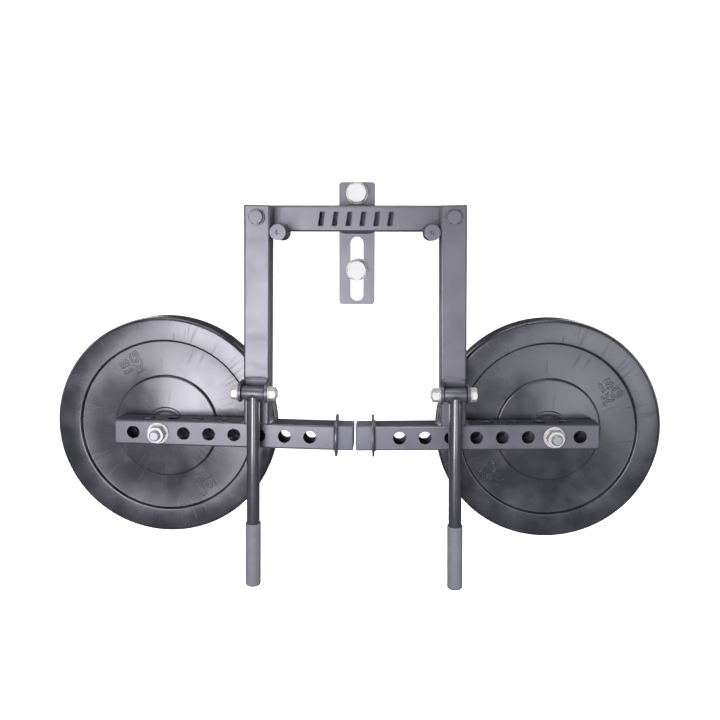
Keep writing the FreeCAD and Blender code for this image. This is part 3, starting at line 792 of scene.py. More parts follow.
@dataclass
class WeldBead:
    """A fillet weld: a convex bead with the ripples that a moving weld pool leaves.

    Attributes:
        root: The line where the two faces meet.
        first: Which way the first face runs from the root, one for each point.
        second: Which way the second face runs.
        leg: How far the bead reaches up each face.
        pitch: Distance between ripples.
        closed: Whether the bead meets its own start.
        belly: 0 for a hollow bead, 1 for a full round one.
        ripple: Height of a ripple, softened by the paint over it.
        bow: How far a ripple bows along the seam, as a share of the pitch.
        sink: How deep the bead's root lies in the metal, as a share of the leg.
        end_share: Size of an open bead's ends, as a share of the full size.
        end_run: Length over which such an end grows, in legs.
        section: Flat pieces in the bead's curved face.
    """

    root: Sequence[Vector]
    first: Sequence[Vector]
    second: Sequence[Vector]
    leg: float = 5 * MM
    pitch: float = 3.2 * MM
    closed: bool = False
    belly: float = 0.5
    ripple: float = 0.14 * MM
    bow: float = 0.3
    sink: float = 0.12
    end_share: float = 0.55
    end_run: float = 2.0
    section: int = 6

    def build(self, mesh: bmesh.types.BMesh) -> None:
        """Adds the bead to a mesh.

        Args:
            mesh: The mesh.
        """
        count = len(self.root)
        travelled = 0.0
        total = sum((b - a).length for a, b in zip(self.root, self.root[1:]))
        rings = []
        for i, point in enumerate(self.root):
            if i:
                travelled += (point - self.root[i - 1]).length
            ahead = self.root[(i + 1) % count] if self.closed or i + 1 < count else point
            behind = self.root[i - 1] if self.closed or i else point
            along = (ahead - behind).normalized()
            size = self.leg + self.ripple * math.sin(math.tau * travelled / self.pitch)
            if not self.closed:
                size *= self._taper(travelled, total)
            rings.append(self._ring(mesh, point, self.first[i], self.second[i], along, size))
        join_rings(mesh, rings, self.closed)

    def _taper(self, travelled: float, total: float) -> float:
        """Share of its full size that an open bead has near its ends.

        Args:
            travelled: Distance from the bead's start.
            total: The bead's length.

        Returns:
            The share, 1 away from the ends.
        """
        near = min(travelled, total - travelled) / (self.end_run * self.leg)
        grown = math.sin(math.pi / 2 * min(1.0, near))
        return self.end_share + (1 - self.end_share) * grown

    def _ring(
        self,
        mesh: bmesh.types.BMesh,
        point: Vector,
        first: Vector,
        second: Vector,
        along: Vector,
        size: float,
    ) -> list[bmesh.types.BMVert]:
        """One cross-section of the bead, bowed like the edge of a weld pool.

        Args:
            mesh: The mesh that gets its points.
            point: A point of the root.
            first: Which way the first face runs from there.
            second: Which way the second face runs.
            along: Which way the seam runs.
            size: The bead's reach up each face.

        Returns:
            The cross-section's points.
        """
        buried = point - (first + second) * size * self.sink
        ring = [mesh.verts.new(buried)]
        for k in range(self.section + 1):
            angle = math.pi / 2 * k / self.section
            u = (1 - self.belly) * (1 - math.sin(angle)) + self.belly * math.cos(angle)
            v = (1 - self.belly) * (1 - math.cos(angle)) + self.belly * math.sin(angle)
            bow = along * (self.bow * self.pitch * math.sin(2 * angle))
            ring.append(mesh.verts.new(point + (first * u + second * v) * size + bow))
        return ring


# Distance between a bead's cross-sections, a sixth of a ripple or less.
WELD_STEP = 0.55 * MM


def straight_weld(
    start: Vector, end: Vector, first: Vector, second: Vector, leg: float, belly: float = 0.5
) -> WeldBead:
    """A bead along a straight seam between two faces.

    Args:
        start: Where the seam starts.
        end: Where it ends.
        first: Which way the first face runs from it.
        second: Which way the second face runs.
        leg: How far the bead reaches up each face.
        belly: 0 for a hollow bead, 1 for a full round one.

    Returns:
        The bead.
    """
    root = line(start, end, WELD_STEP)
    return WeldBead(root, [first] * len(root), [second] * len(root), leg, belly=belly)


@dataclass
class Thread:
    """The thread that shows where a bolt or stud stands out of its nut.

    Attributes:
        radius: The shank's radius, which the roots of the thread just cover.
        pitch: Advance in one turn.
        length: Threaded length.
        depth_share: Height of the thread, as a share of its pitch.
        cover: How far its roots lie above the shank.
        fade: Length over which the thread starts and ends, in turns.
        around: Points in one turn.
        rows_per_turn: Points along the axis in one pitch.
    """

    radius: float
    pitch: float
    length: float
    depth_share: float = 0.16
    cover: float = 0.04 * MM
    fade: float = 0.5
    around: int = 40
    rows_per_turn: int = 8

    def build(self, mesh: bmesh.types.BMesh, place: Matrix) -> None:
        """Adds the thread.

        Args:
            mesh: The mesh that gets it.
            place: Where it starts; it runs along the place's own Z.
        """
        rows = max(2, round(self.length / self.pitch * self.rows_per_turn))
        depth = self.pitch * self.depth_share
        grid = []
        for i in range(rows + 1):
            z = self.length * i / rows
            grown = min(1.0, min(i, rows - i) / self.rows_per_turn / self.fade)
            ring = []
            for k in range(self.around):
                phase = (z / self.pitch - k / self.around) % 1.0
                crest = 1 - abs(2 * phase - 1)
                r = self.radius + self.cover + depth * crest * grown
                angle = math.tau * k / self.around
                ring.append(
                    mesh.verts.new(place @ Vector((r * math.cos(angle), r * math.sin(angle), z)))
                )
            grid.append(ring)
        join_rings(mesh, grid)


def along_axis(origin: Vector, axis: Vector) -> Matrix:
    """A place at a point whose own Z runs along an axis."""
    turn = axis.to_track_quat("Z", "Y").to_matrix().to_4x4()
    return Matrix.Translation(origin) @ turn


def span(node: str, origin: Vector, axis: Vector) -> tuple[float, float]:
    """How far a node reaches along an axis, measured from a point of that axis.

    Args:
        node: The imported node.
        origin: The point.
        axis: The axis's direction, of length 1.

    Returns:
        The lowest and the highest place.
    """
    places = [(v.co - origin).dot(axis) for v in frame["nodes"][node].data.vertices]
    return min(places), max(places)


def joint_named(name: str) -> dict[str, Any]:
    """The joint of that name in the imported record."""
    return next(j for j in frame["joints"] if j["name"] == name)


# ---- sub-assemblies ----------------------------------------------------------------------


@dataclass
class Bracket:
    """The fixed bracket: mounting plate, crossbar, stops and their fixings.

    A root is the radius of the shank under a thread, a pitch is its advance in one turn, and a
    point is the length of the plain end beyond it.
    """

    body: str = "bracket"
    plate_weld: float = 5.5 * MM
    plate_weld_sink: float = 1.5 * MM
    stop_weld: float = 4 * MM
    weld_margin: float = 3 * MM
    rack_root: float = 11.8 * MM
    rack_pitch: float = 3 * MM
    rack_point: float = 2 * MM
    pivot_root: float = 8 * MM
    pivot_pitch: float = 2 * MM
    pivot_point: float = 1.5 * MM

    def build(self) -> None:
        """Builds the welds and threads of the bracket."""
        self.build_plate_welds()
        self.build_stop_welds()
        self.build_threads()

    def build_plate_welds(self) -> None:
        """Beads above and below the crossbar, where it stands on the mounting plate."""
        plate_low, plate_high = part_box("mount_plate")
        bar_low, bar_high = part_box("crossbar")
        mesh = bmesh.new()
        front = Vector((0, -1, 0))
        for z, up in ((bar_high.z, 1), (bar_low.z, -1)):
            level = z - up * self.plate_weld_sink
            start = Vector((plate_low.x + self.weld_margin, plate_low.y, level))
            end = Vector((plate_high.x - self.weld_margin, plate_low.y, level))
            straight_weld(start, end, Vector((0, 0, up)), front, self.plate_weld).build(mesh)
        add_piece("plate_welds", mesh, "frame_paint", self.body)

    def build_stop_welds(self) -> None:
        """A bead round each stop where it stands on the crossbar's front face."""
        bar_low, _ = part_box("crossbar")
        for side in Side:
            low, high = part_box(f"{side.value}_stop")
            radius = (high.x - low.x) / 2
            centre = Vector(((low.x + high.x) / 2, bar_low.y, (low.z + high.z) / 2))
            mesh = bmesh.new()
            rise = math.asin((bar_low.z + self.stop_weld - centre.z) / radius)
            steps = round(radius * (math.pi - 2 * rise) / WELD_STEP)
            root, first = [], []
            for k in range(steps + 1):
                angle = rise + (math.pi - 2 * rise) * k / steps
                out = Vector((math.cos(angle), 0, math.sin(angle)))
                root.append(centre + out * radius)
                first.append(out)
            second = [Vector((0, -1, 0))] * len(root)
            WeldBead(root, first, second, self.stop_weld).build(mesh)
            add_piece(f"{side.value}_stop_weld", mesh, "frame_paint", self.body)

    def build_threads(self) -> None:
        """Threads behind the nuts of the rack bolts and of the pivot bolts."""
        back = Vector((0, 1, 0))
        bolts_high, nuts_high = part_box("rack_bolts")[1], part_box("rack_nuts")[1]
        mesh = bmesh.new()
        for z in self.rack_levels():
            tail = bolts_high.y - nuts_high.y - self.rack_point
            place = along_axis(Vector((0, nuts_high.y, z)), back)
            Thread(self.rack_root, self.rack_pitch, tail).build(mesh, place)
        add_piece("rack_bolt_threads", mesh, "zinc", self.body, 60)
        for side in Side:
            low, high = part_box(f"{side.value}_pivot_bolt")
            nuts_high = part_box("pivot_nuts")[1]
            centre = (low + high) / 2
            tail = high.y - nuts_high.y - self.pivot_point
            mesh = bmesh.new()
            place = along_axis(Vector((centre.x, nuts_high.y, centre.z)), back)
            Thread(self.pivot_root, self.pivot_pitch, tail).build(mesh, place)
            add_piece(f"{side.value}_pivot_thread", mesh, "black_bolt", self.body, 60)

    def rack_levels(self) -> tuple[float, float]:
        """Heights of the two rack bolts, from the rack_studs mount.

        Returns:
            The upper and the lower one.
        """
        mount = next(m for m in frame["record"]["mounts"] if m["name"] == "rack_studs")
        half = mount["dims"]["spacing_y_mm"] * MM / 2
        return mount["pos_m"][2] + half, mount["pos_m"][2] - half


@dataclass
class LeverArm:
    """One swinging arm: post, load bar, end flange, handle fork and weight post.

    Its own frame has the origin on the pivot's axis, X along the load bar away from the middle
    of the machine and Z up along the post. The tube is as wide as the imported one; a weld's size
    is its leg, and a sink is how far its root lies inside an edge that is rounded off.
    """

    side: Side
    tube: float = 50 * MM
    corner: float = 4 * MM
    corner_steps: int = 8
    bar_drop: float = 423 * MM
    bumper_round: float = 3.5 * MM
    bumper_steps: int = 6
    bumper_corner: float = 0.8 * MM
    foot_weld: float = 10 * MM
    foot_belly: float = 0.25
    foot_margin: float = 0.8 * MM
    seam_weld: float = 3.2 * MM
    seam_sink: float = 0.6
    seam_drop: float = 0.5
    flange_weld: float = 3 * MM
    flange_sink: float = 0.6 * MM
    fork_weld: float = 6.5 * MM
    fork_weld_sink: float = 0.6 * MM
    fork_weld_flat: float = 0.75
    fork_thick: float = 5 * MM
    fork_bend: float = 8 * MM
    fork_bend_steps: int = 6
    nose_sweep: float = 84.0
    nose_steps: int = 12
    stud_root: float = 10 * MM
    stud_pitch: float = 2.5 * MM
    stud_point: float = 2 * MM
    bolt_root: float = 8 * MM
    bolt_pitch: float = 2 * MM
    bolt_point: float = 1.5 * MM
    place: Matrix = field(init=False)

    def __post_init__(self) -> None:
        """Works out the arm's own frame from its two joints."""
        swing = Vector(joint_named(f"{self.side.value}_handle_swing")["axis"])
        pivot = joint_named(f"{self.side.value}_arm_raise")["pos_m"]
        outward = -self.side.sign * swing
        up = Vector((-outward.z * self.side.sign, 0, abs(outward.x)))
        origin = Vector((pivot[0], 0, pivot[2]))
        self.place = place_from(outward, Vector((0, 1, 0)), up, origin)

    @property
    def body(self) -> str:
        """The body that the arm's pieces ride on."""
        return f"{self.side.value}_arm"

    def node(self, name: str) -> str:
        """The arm's node or piece of that name."""
        return f"{self.side.value}_{name}"

    def at(self, x: float, y: float, z: float) -> Vector:
        """A point of the arm's own frame in the row frame."""
        return self.place @ Vector((x, y, z))

    def way(self, x: float, y: float, z: float) -> Vector:
        """A direction of the arm's own frame in the row frame."""
        return (self.place.to_3x3() @ Vector((x, y, z))).normalized()

    def build(self) -> None:
        """Builds the arm's bumper, fork, welds and threads."""
        self.build_bumper()
        self.build_fork()
        self.build_foot_welds()
        self.build_flange_welds()
        self.build_fork_weld()
        self.build_threads()

    def build_bumper(self) -> None:
        """The rubber block at the bar's inner end, its striking edges rounded by the mould."""
        node = self.node("bumper")
        origin, axis = self.at(0, 0, 0), self.way(1, 0, 0)
        near, far = span(node, origin, axis)
        low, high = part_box(self.node("load_bar"))
        centre_y = (low.y + high.y) / 2
        insets = [(far, 0.0)]
        for k in range(self.bumper_steps + 1):
            angle = math.pi / 2 * k / self.bumper_steps
            inset = self.bumper_round * (1 - math.cos(angle))
            insets.append((near + self.bumper_round * (1 - math.sin(angle)), inset))
        mesh = bmesh.new()
        rings = []
        for x, inset in insets:
            half, corner = self.tube / 2 - inset, max(self.corner - inset, self.bumper_corner)
            outline = rounded_square(half, corner, self.bumper_steps)
            rings.append(
                [mesh.verts.new(self.at(x, centre_y + y, z - self.bar_drop)) for y, z in outline]
            )
        join_rings(mesh, rings)
        block = add_piece(self.node("bumper_block"), mesh, "bumper_rubber", self.body)
        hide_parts(node)

    def build_foot_welds(self) -> None:
        """Beads on both sides of the post's foot, and over the seams in front and behind."""
        low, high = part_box(self.node("arm_post"))
        half, top = self.tube / 2, self.tube / 2 - self.bar_drop
        mesh = bmesh.new()
        for k in (1, -1):
            start = self.at(k * half, low.y + self.foot_margin, top)
            end = self.at(k * half, high.y - self.foot_margin, top)
            aside, upward = self.way(k, 0, 0), self.way(0, 0, 1)
            straight_weld(
                start, end, aside, upward, self.foot_weld, self.foot_belly
            ).build(mesh)
        for y, out in ((low.y, -1), (high.y, 1)):
            inside = y - out * self.corner * self.seam_sink
            level = top - self.corner * self.seam_drop
            start = self.at(-half + self.corner, inside, level)
            end = self.at(half - self.corner, inside, level)
            # the seam's two faces lean over the rounded edge between bar and post
            outward, upward = self.way(0, out, -0.3), self.way(0, out * 0.6, 1)
            straight_weld(start, end, outward, upward, self.seam_weld, 1.0).build(mesh)
        add_piece(self.node("foot_welds"), mesh, "frame_paint", self.body)

    def build_flange_welds(self) -> None:
        """A bead all round the bar on its end flange."""
        low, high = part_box(self.node("load_bar"))
        flange_low, flange_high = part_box(self.node("end_flange"))
        inner = self.place.inverted() @ ((flange_low + flange_high) / 2)
        reach = inner.x + (flange_high.x - flange_low.x) / 2 - self.flange_sink
        half = self.tube / 2
        centre_y = (low.y + high.y) / 2
        outline = rounded_square(half, self.corner, self.corner_steps)
        points = [Vector((y, z)) for y, z in outline]
        root, first = [], []
        for a, b in zip(points, points[1:] + points[:1]):
            for p in line(a.to_3d(), b.to_3d(), WELD_STEP)[:-1]:
                inset_y = max(-half + self.corner, min(half - self.corner, p.x))
                inset_z = max(-half + self.corner, min(half - self.corner, p.y))
                out = Vector((p.x - inset_y, p.y - inset_z)).normalized()
                root.append(self.at(reach, centre_y + p.x, p.y - self.bar_drop))
                first.append(self.way(0, out.x, out.y))
        second = [self.way(1, 0, 0)] * len(root)
        mesh = bmesh.new()
        WeldBead(root, first, second, self.flange_weld, closed=True).build(mesh)
        add_piece(self.node("flange_weld"), mesh, "frame_paint", self.body)

    def build_fork(self) -> None:
        """The fork, bent from flat bar: its web on the post's face, two round-nosed ears."""
        node = self.node("handle_fork")
        origin = self.at(0, 0, 0)
        half = span(node, origin, self.way(1, 0, 0))[1]
        bottom, top = span(node, origin, self.way(0, 0, 1))
        nose, back = span(node, origin, Vector((0, 1, 0)))
        radius, middle = (top - bottom) / 2, (top + bottom) / 2
        stations = []
        for k in range(self.nose_steps + 1):
            angle = math.radians(self.nose_sweep * (1 - k / self.nose_steps))
            y, rise = nose + radius * (1 - math.sin(angle)), radius * math.cos(angle)
            stations.append(((half, y), (half - self.fork_thick, y), rise))
        inner_bend = self.fork_bend - self.fork_thick
        centre = (half - self.fork_bend, back - self.fork_bend)
        for k in range(self.fork_bend_steps + 1):
            angle = math.pi / 2 * k / self.fork_bend_steps
            c, s = math.cos(angle), math.sin(angle)
            outer = (centre[0] + self.fork_bend * c, centre[1] + self.fork_bend * s)
            inner = (centre[0] + inner_bend * c, centre[1] + inner_bend * s)
            stations.append((outer, inner, radius))
        mirrored = [((-o[0], o[1]), (-i[0], i[1]), rise) for o, i, rise in reversed(stations)]
        mesh = bmesh.new()
        rings = []
        for outer, inner, rise in stations + mirrored:
            corners = ((outer, rise), (inner, rise), (inner, -rise), (outer, -rise))
            rings.append([mesh.verts.new(self.at(p[0], p[1], middle + z)) for p, z in corners])
        join_rings(mesh, rings)
        fork = add_piece(self.node("handle_fork_plate"), mesh, "frame_paint", self.body, 40)
        break_edges(fork)
        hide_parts(node)

    def build_fork_weld(self) -> None:
        """A bead along the top of the fork's web, on the front of the post."""
        post_low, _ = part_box(self.node("arm_post"))
        level = span(self.node("handle_fork"), self.at(0, 0, 0), self.way(0, 0, 1))[1]
        reach = self.tube / 2 - self.corner
        root = level - self.fork_weld_sink
        mesh = bmesh.new()
        straight_weld(
            self.at(-reach, post_low.y, root),
            self.at(reach, post_low.y, root),
            self.way(0, 0, 1),
            self.way(0, -1, 0) * self.fork_weld_flat,
            self.fork_weld,
        ).build(mesh)
        add_piece(self.node("fork_weld"), mesh, "frame_paint", self.body)

    def build_threads(self) -> None:
        """Threads in front of the weight post's nut and beyond the handle bolt's nut."""
        low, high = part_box(self.node("post_nut"))
        centre = (low + high) / 2
        tail = low.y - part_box(self.node("plate_post"))[0].y - self.stud_point
        mesh = bmesh.new()
        place = along_axis(Vector((centre.x, low.y, centre.z)), Vector((0, -1, 0)))
        Thread(self.stud_root, self.stud_pitch, tail).build(mesh, place)
        add_piece(self.node("stud_thread"), mesh, "zinc", self.body, 60)

        origin = Vector(joint_named(self.node("handle_swing"))["pos_m"])
        axis = self.way(1, 0, 0)
        nut, bolt = (span(self.node(n), origin, axis) for n in ("handle_nut", "handle_bolt"))
        way = 1 if nut[0] > 0 else -1
        start = nut[1] if way > 0 else nut[0]
        tail = abs((bolt[1] if way > 0 else bolt[0]) - start) - self.bolt_point
        mesh = bmesh.new()
        place = along_axis(origin + axis * start, axis * way)
        Thread(self.bolt_root, self.bolt_pitch, tail).build(mesh, place)
        add_piece(self.node("handle_bolt_thread"), mesh, "zinc", self.body, 60)


@dataclass
class SwingHandle:
    """One hanging handle: barrel on the fork's bolt, stem and grip."""

    arm: LeverArm
    barrel_radius: float = 13 * MM
    stem_radius: float = 12.5 * MM
    weld_leg: float = 3.2 * MM
    weld_pitch: float = 2.6 * MM
    weld_lift: float = 0.9

    @property
    def body(self) -> str:
        """The body that the handle's pieces ride on."""
        return f"{self.arm.side.value}_handle"

    def build(self) -> None:
        """Builds the saddle weld between the stem and the barrel."""
        swing = joint_named(f"{self.arm.side.value}_handle_swing")
        centre = Vector(swing["pos_m"])
        across, forward, up = self.arm.way(1, 0, 0), Vector((0, 1, 0)), self.arm.way(0, 0, 1)
        steps = round(math.tau * self.stem_radius / WELD_STEP)
        root, first, second = [], [], []
        for k in range(steps):
            angle = math.tau * k / steps
            x, y = self.stem_radius * math.cos(angle), self.stem_radius * math.sin(angle)
            z = -math.sqrt(self.barrel_radius**2 - y**2)
            root.append(centre + across * x + forward * y + up * z)
            out = (across * x + forward * y).normalized()
            skin = (forward * y + up * z).normalized()
            # the bead's foot follows the barrel's skin, a little lifted off it
            first.append((out - skin * out.dot(skin) * self.weld_lift).normalized())
            second.append(-up)
        mesh = bmesh.new()
        WeldBead(root, first, second, self.weld_leg, self.weld_pitch, closed=True).build(mesh)
        add_piece(f"{self.arm.side.value}_barrel_weld", mesh, "stem_gloss", self.body)


@dataclass
class WeightDisc:
    """A rubber disc: raised rim and boss, lipped bore, parting line and mass marks.

    The radii, rise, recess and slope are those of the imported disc. The rounds are softer than
    its own, as a mould gives them, and the parting line is the ridge where its halves meet.
    """

    arm: LeverArm
    mark_angles: tuple[float, float]
    hub_radius: float = 30 * MM
    lip_radius: float = 39 * MM
    lip_rise: float = 3 * MM
    boss_radius: float = 103 * MM
    rim_radius: float = 177 * MM
    web_recess: float = 7 * MM
    step_slope: float = 2.5 * MM
    rim_round: float = 8 * MM
    bore_round: float = 0.6 * MM
    edge_round: float = 1.2 * MM
    raised_round: float = 3 * MM
    round_steps: int = 5
    parting_high: float = 0.3 * MM
    parting_wide: float = 1.2 * MM
    segments: int = 192
    mark_radius: float = 143 * MM
    mark_height: float = 19 * MM
    mark_stretch: float = 1.25
    mark_rows: float = 25 * MM
    mark_line: float = 0.8 * MM
    mark_spread: float = 0.6 * MM
    capital_share: float = 0.72

    @property
    def body(self) -> str:
        """The body that the disc rides on."""
        return f"{self.arm.side.value}_disc"

    def build(self) -> None:
        """Builds the disc in place of its plain solid, and its marks on both faces."""
        node = f"{self.arm.side.value}_disc_rubber"
        low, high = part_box(node)
        centre = (low + high) / 2
        radius, half = (high.x - low.x) / 2, (high.y - low.y) / 2
        mesh = lathe(self.outline(radius, half), self.segments)
        name = f"{self.arm.side.value}_disc_tyre"
        disc = add_piece(name, mesh, "disc_rubber", self.body, 50, centre)
        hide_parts(node)
        web = half - self.lip_rise - self.web_recess
        for face in (-1, 1):
            self.build_marks(centre, web, face)

    def outline(self, radius: float, half: float) -> list[tuple[float, float]]:
        """The disc's section, alike on both faces.

        Args:
            radius: The disc's outer radius.
            half: Half its depth over the lips.

        Returns:
            The section as (radius, depth) points.
        """
        level, web = half - self.lip_rise, half - self.lip_rise - self.web_recess
        soft = self.edge_round
        front = [
            (self.hub_radius, -half, self.bore_round),
            (self.lip_radius, -half, soft),
            (self.lip_radius + self.step_slope / 2, -level, soft),
            (self.boss_radius, -level, self.raised_round),
            (self.boss_radius + self.step_slope, -web, soft),
            (self.rim_radius - self.step_slope, -web, soft),
            (self.rim_radius, -level, self.raised_round),
            (radius - self.parting_high, -level, self.rim_round),
        ]
        skin = radius - self.parting_high
        parting = [
            (skin, -self.parting_wide, 0.0),
            (radius, -self.parting_wide / 3, 0.0),
            (radius, self.parting_wide / 3, 0.0),
            (skin, self.parting_wide, 0.0),
        ]
        back = [(r, -y, soft_radius) for r, y, soft_radius in reversed(front)]
        return rounded_corners(front + parting + back, self.round_steps)

    def build_marks(self, centre: Vector, web: float, face: int) -> None:
        """The mass in outlined figures that read outwards, at two places of one face.

        Args:
            centre: The disc's centre.
            web: Height of the web above the disc's middle plane.
            face: -1 for the front face and 1 for the back.
        """
        mesh = bmesh.new()
        for degrees in self.mark_angles:
            angle = math.radians(degrees)
            reading = Vector((math.cos(angle), 0, math.sin(angle)))
            normal = Vector((0, face, 0))
            above = normal.cross(reading)
            for row, text in enumerate(("15", "KG")):
                offset = above * self.mark_rows * (0.5 - row)
                origin = reading * self.mark_radius + offset + normal * web
                place = place_from(reading * self.mark_stretch, above, normal, origin)
                self.add_text(mesh, text, place)
        name = f"{self.arm.side.value}_disc_marks_{'front' if face < 0 else 'back'}"
        add_piece(name, mesh, "disc_rubber", self.body, 60, centre)

    def add_text(self, mesh: bmesh.types.BMesh, text: str, place: Matrix) -> None:
        """Adds outlined figures.

        Args:
            mesh: The mesh that gets them.
            text: What they read.
            place: Their middle; they read along its X and stand up along its Y.
        """
        curve = bpy.data.curves.new("mark", "FONT")
        curve.body = text
        curve.size = self.mark_height / self.capital_share
        curve.align_x, curve.align_y = "CENTER", "CENTER"
        curve.fill_mode = "NONE"
        curve.bevel_depth = self.mark_line
        curve.bevel_resolution = 2
        curve.resolution_u = 4
        curve.offset = self.mark_spread
        letters = bpy.data.objects.new("mark", curve)
        bpy.context.scene.collection.objects.link(letters)
        bpy.context.view_layer.update()
        flat = bpy.data.meshes.new_from_object(
            letters.evaluated_get(bpy.context.evaluated_depsgraph_get())
        )
        flat.transform(place)
        mesh.from_mesh(flat)
        bpy.data.objects.remove(letters)
        bpy.data.curves.remove(curve)
        bpy.data.meshes.remove(flat)


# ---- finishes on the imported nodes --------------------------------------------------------


@dataclass
class CadFinishes:
    """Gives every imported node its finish, and a small break to its sharp edges."""

    plain: tuple[str, ...] = ("disc_rubber", "bumper", "handle_fork")

    def build(self) -> None:
        """Dresses the nodes one after the other."""
        slots = {s["node"]: s["material_slot"] for s in frame["record"]["subparts"]}
        for name, node in frame["nodes"].items():
            slot = slots[name]
            for holder in node.material_slots:
                holder.material = MATERIALS[slot]
            if not name.endswith(self.plain):
                break_edges(node)
            LOG.info("node %s: %s", name, FINISHES[slot].name)


# ---- studio ------------------------------------------------------------------------------


@dataclass(frozen=True)
class SoftBox:
    """A square area light that looks at the object.

    Attributes:
        name: Its name.
        place: Where it stands, in metres.
        aim: The point that it faces.
        size: Width and height of its face.
        power: In watts.
        colour: Its light's colour, sRGB hex.
    """

    name: str
    place: tuple[float, float, float]
    aim: tuple[float, float, float]
    size: tuple[float, float]
    power: float
    colour: str = "#ffffff"

    def build(self) -> None:
        """Adds the light to the scene."""
        light = bpy.data.lights.new(self.name, "AREA")
        light.shape = "RECTANGLE"
        light.size, light.size_y = self.size
        light.energy = self.power
        light.color = linear(self.colour)[:3]
        lamp = bpy.data.objects.new(self.name, light)
        bpy.context.scene.collection.objects.link(lamp)
        lamp.location = self.place
        lamp.visible_camera = False
        aim = Vector(self.aim) - Vector(self.place)
        lamp.rotation_euler = aim.to_track_quat("-Z", "Y").to_euler()


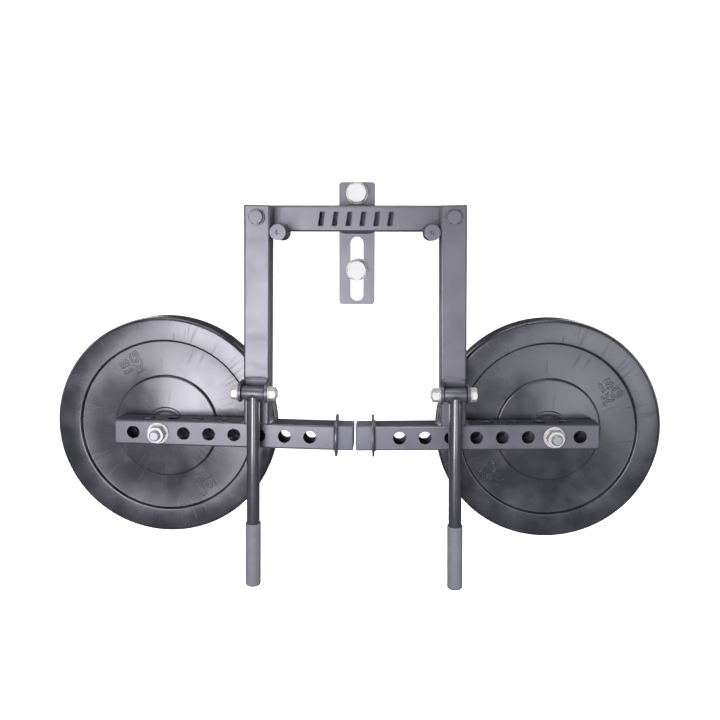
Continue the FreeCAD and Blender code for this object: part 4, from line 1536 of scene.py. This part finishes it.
@dataclass
class Studio:
    """Camera, soft light and a pale floor that sweeps up into a pale wall all round.

    Lengths are in metres and angles in degrees. The floor's middle is the small disc that closes
    it, and the sky shines more from the front than from behind.
    """

    eye: tuple[float, float, float] = (0.0583, -1.5424, -0.1013)
    pitch_down: float = 8.73
    turn_left: float = 1.92
    roll: float = 0.17
    lens: float = 37.6
    sensor: float = 36.0
    floor_level: float = -1.2
    floor_radius: float = 2.6
    wall_top: float = 9.0
    sweep: float = 1.2
    sweep_steps: int = 12
    around: int = 72
    floor_middle: float = 0.02
    white: str = "#d9d9d9"
    glow: float = 0.9
    sky: str = "#f4f5f8"
    sky_front: float = 0.42
    sky_behind: float = 0.1
    softboxes: tuple[SoftBox, ...] = (
        SoftBox("key", (-0.54, -2.2, -0.48), (-0.12, 0, -0.35), (1.0, 1.1), 96, "#f6f3ff"),
        SoftBox("fill", (1.15, -2.1, -0.52), (0.2, 0, -0.45), (0.9, 0.9), 21, "#f3f3ff"),
        SoftBox("top_front", (-0.1, -0.75, 1.55), (0, 0, -0.35), (1.8, 0.4), 32),
        SoftBox("high_left", (-1.7, 1.8, 1.1), (-0.1, 0, -0.35), (1.2, 1.0), 36),
        SoftBox("high_right", (1.7, 1.8, 1.1), (0.1, 0, -0.35), (1.2, 1.0), 36),
        SoftBox("left", (-2.4, -0.2, 0.2), (0, 0, -0.35), (1.2, 1.4), 16),
        SoftBox("right", (2.4, -0.2, 0.2), (0, 0, -0.35), (1.2, 1.4), 16),
        SoftBox("back_left", (-1.9, 1.9, -0.7), (-0.1, 0, -0.35), (1.2, 0.8), 15),
        SoftBox("back_right", (1.9, 1.9, -0.7), (0.1, 0, -0.35), (1.2, 0.8), 15),
    )

    def build(self) -> None:
        """Builds the studio."""
        self.build_backdrop()
        self.build_world()
        for box in self.softboxes:
            box.build()
        self.build_camera()

    def build_backdrop(self) -> None:
        """A round floor curving up into a wall, in one smooth sheet."""
        profile = [(self.floor_middle, self.floor_level), (self.floor_radius, self.floor_level)]
        for k in range(1, self.sweep_steps + 1):
            angle = math.pi / 2 * k / self.sweep_steps
            out = self.floor_radius + self.sweep * math.sin(angle)
            profile.append((out, self.floor_level + self.sweep * (1 - math.cos(angle))))
        profile.append((self.floor_radius + self.sweep, self.wall_top))
        mesh = bmesh.new()
        rows = []
        for out, height in profile:
            angles = [math.tau * k / self.around for k in range(self.around)]
            rows.append(
                [mesh.verts.new((out * math.cos(a), out * math.sin(a), height)) for a in angles]
            )
        mesh.faces.new(rows[0])
        for inner, outer in zip(rows, rows[1:]):
            for k in range(self.around):
                j = (k + 1) % self.around
                mesh.faces.new((inner[k], outer[k], outer[j], inner[j]))
        data = bpy.data.meshes.new("backdrop")
        mesh.to_mesh(data)
        mesh.free()
        data.shade_smooth()
        sheet = bpy.data.objects.new("backdrop", data)
        bpy.context.scene.collection.objects.link(sheet)
        data.materials.append(self.backdrop_paper())
        sheet.visible_glossy = False
        sheet.visible_diffuse = False

    def backdrop_paper(self) -> bpy.types.Material:
        """Seamless white studio paper, lit so evenly that it stays near white.

        Returns:
            Its material.
        """
        material = bpy.data.materials.new("studio_paper")
        material.use_nodes = True
        shader = material.node_tree.nodes["Principled BSDF"]
        shader.inputs["Base Color"].default_value = linear(self.white)
        shader.inputs["Roughness"].default_value = 0.9
        shader.inputs["Emission Color"].default_value = linear("#ffffff")
        shader.inputs["Emission Strength"].default_value = self.glow
        return material

    def build_world(self) -> None:
        """Pale light from all round, weaker from behind the object."""
        world = bpy.data.worlds.new("studio")
        world.use_nodes = True
        tree = world.node_tree
        sky = tree.nodes["Background"]
        sky.inputs["Color"].default_value = linear(self.sky)
        way = add_node(tree, "ShaderNodeTexCoord").outputs["Generated"]
        depth = add_node(tree, "ShaderNodeSeparateXYZ", links={0: way}).outputs["Y"]
        strength = ramp(tree, depth, self.sky_front, self.sky_behind, (-0.3, 0.85))
        tree.links.new(strength, sky.inputs["Strength"])
        bpy.context.scene.world = world
        bpy.context.scene.view_settings.view_transform = "Standard"

    def build_camera(self) -> None:
        """Places the camera a little below the crossbar, looking slightly down."""
        data = bpy.data.cameras.new("camera")
        data.lens = self.lens
        data.sensor_width = self.sensor
        camera = bpy.data.objects.new("camera", data)
        bpy.context.scene.collection.objects.link(camera)
        camera.location = self.eye
        look = Matrix.Rotation(math.radians(self.turn_left), 3, "Z")
        look @= Matrix.Rotation(math.radians(90 - self.pitch_down), 3, "X")
        look @= Matrix.Rotation(math.radians(self.roll), 3, "Z")
        camera.rotation_euler = look.to_euler()
        bpy.context.scene.camera = camera


def main() -> None:
    """Builds everything in order."""
    logging.basicConfig(level=logging.INFO, format="%(name)s %(message)s")
    CadFinishes().build()
    Bracket().build()
    marks: dict[Side, tuple[float, float]] = {Side.LEFT: (118, -60), Side.RIGHT: (34, 221)}
    for side in Side:
        arm = LeverArm(side)
        arm.build()
        SwingHandle(arm).build()
        WeightDisc(arm, marks[side]).build()
    Studio().build()


if __name__ == "__main__":
    main()
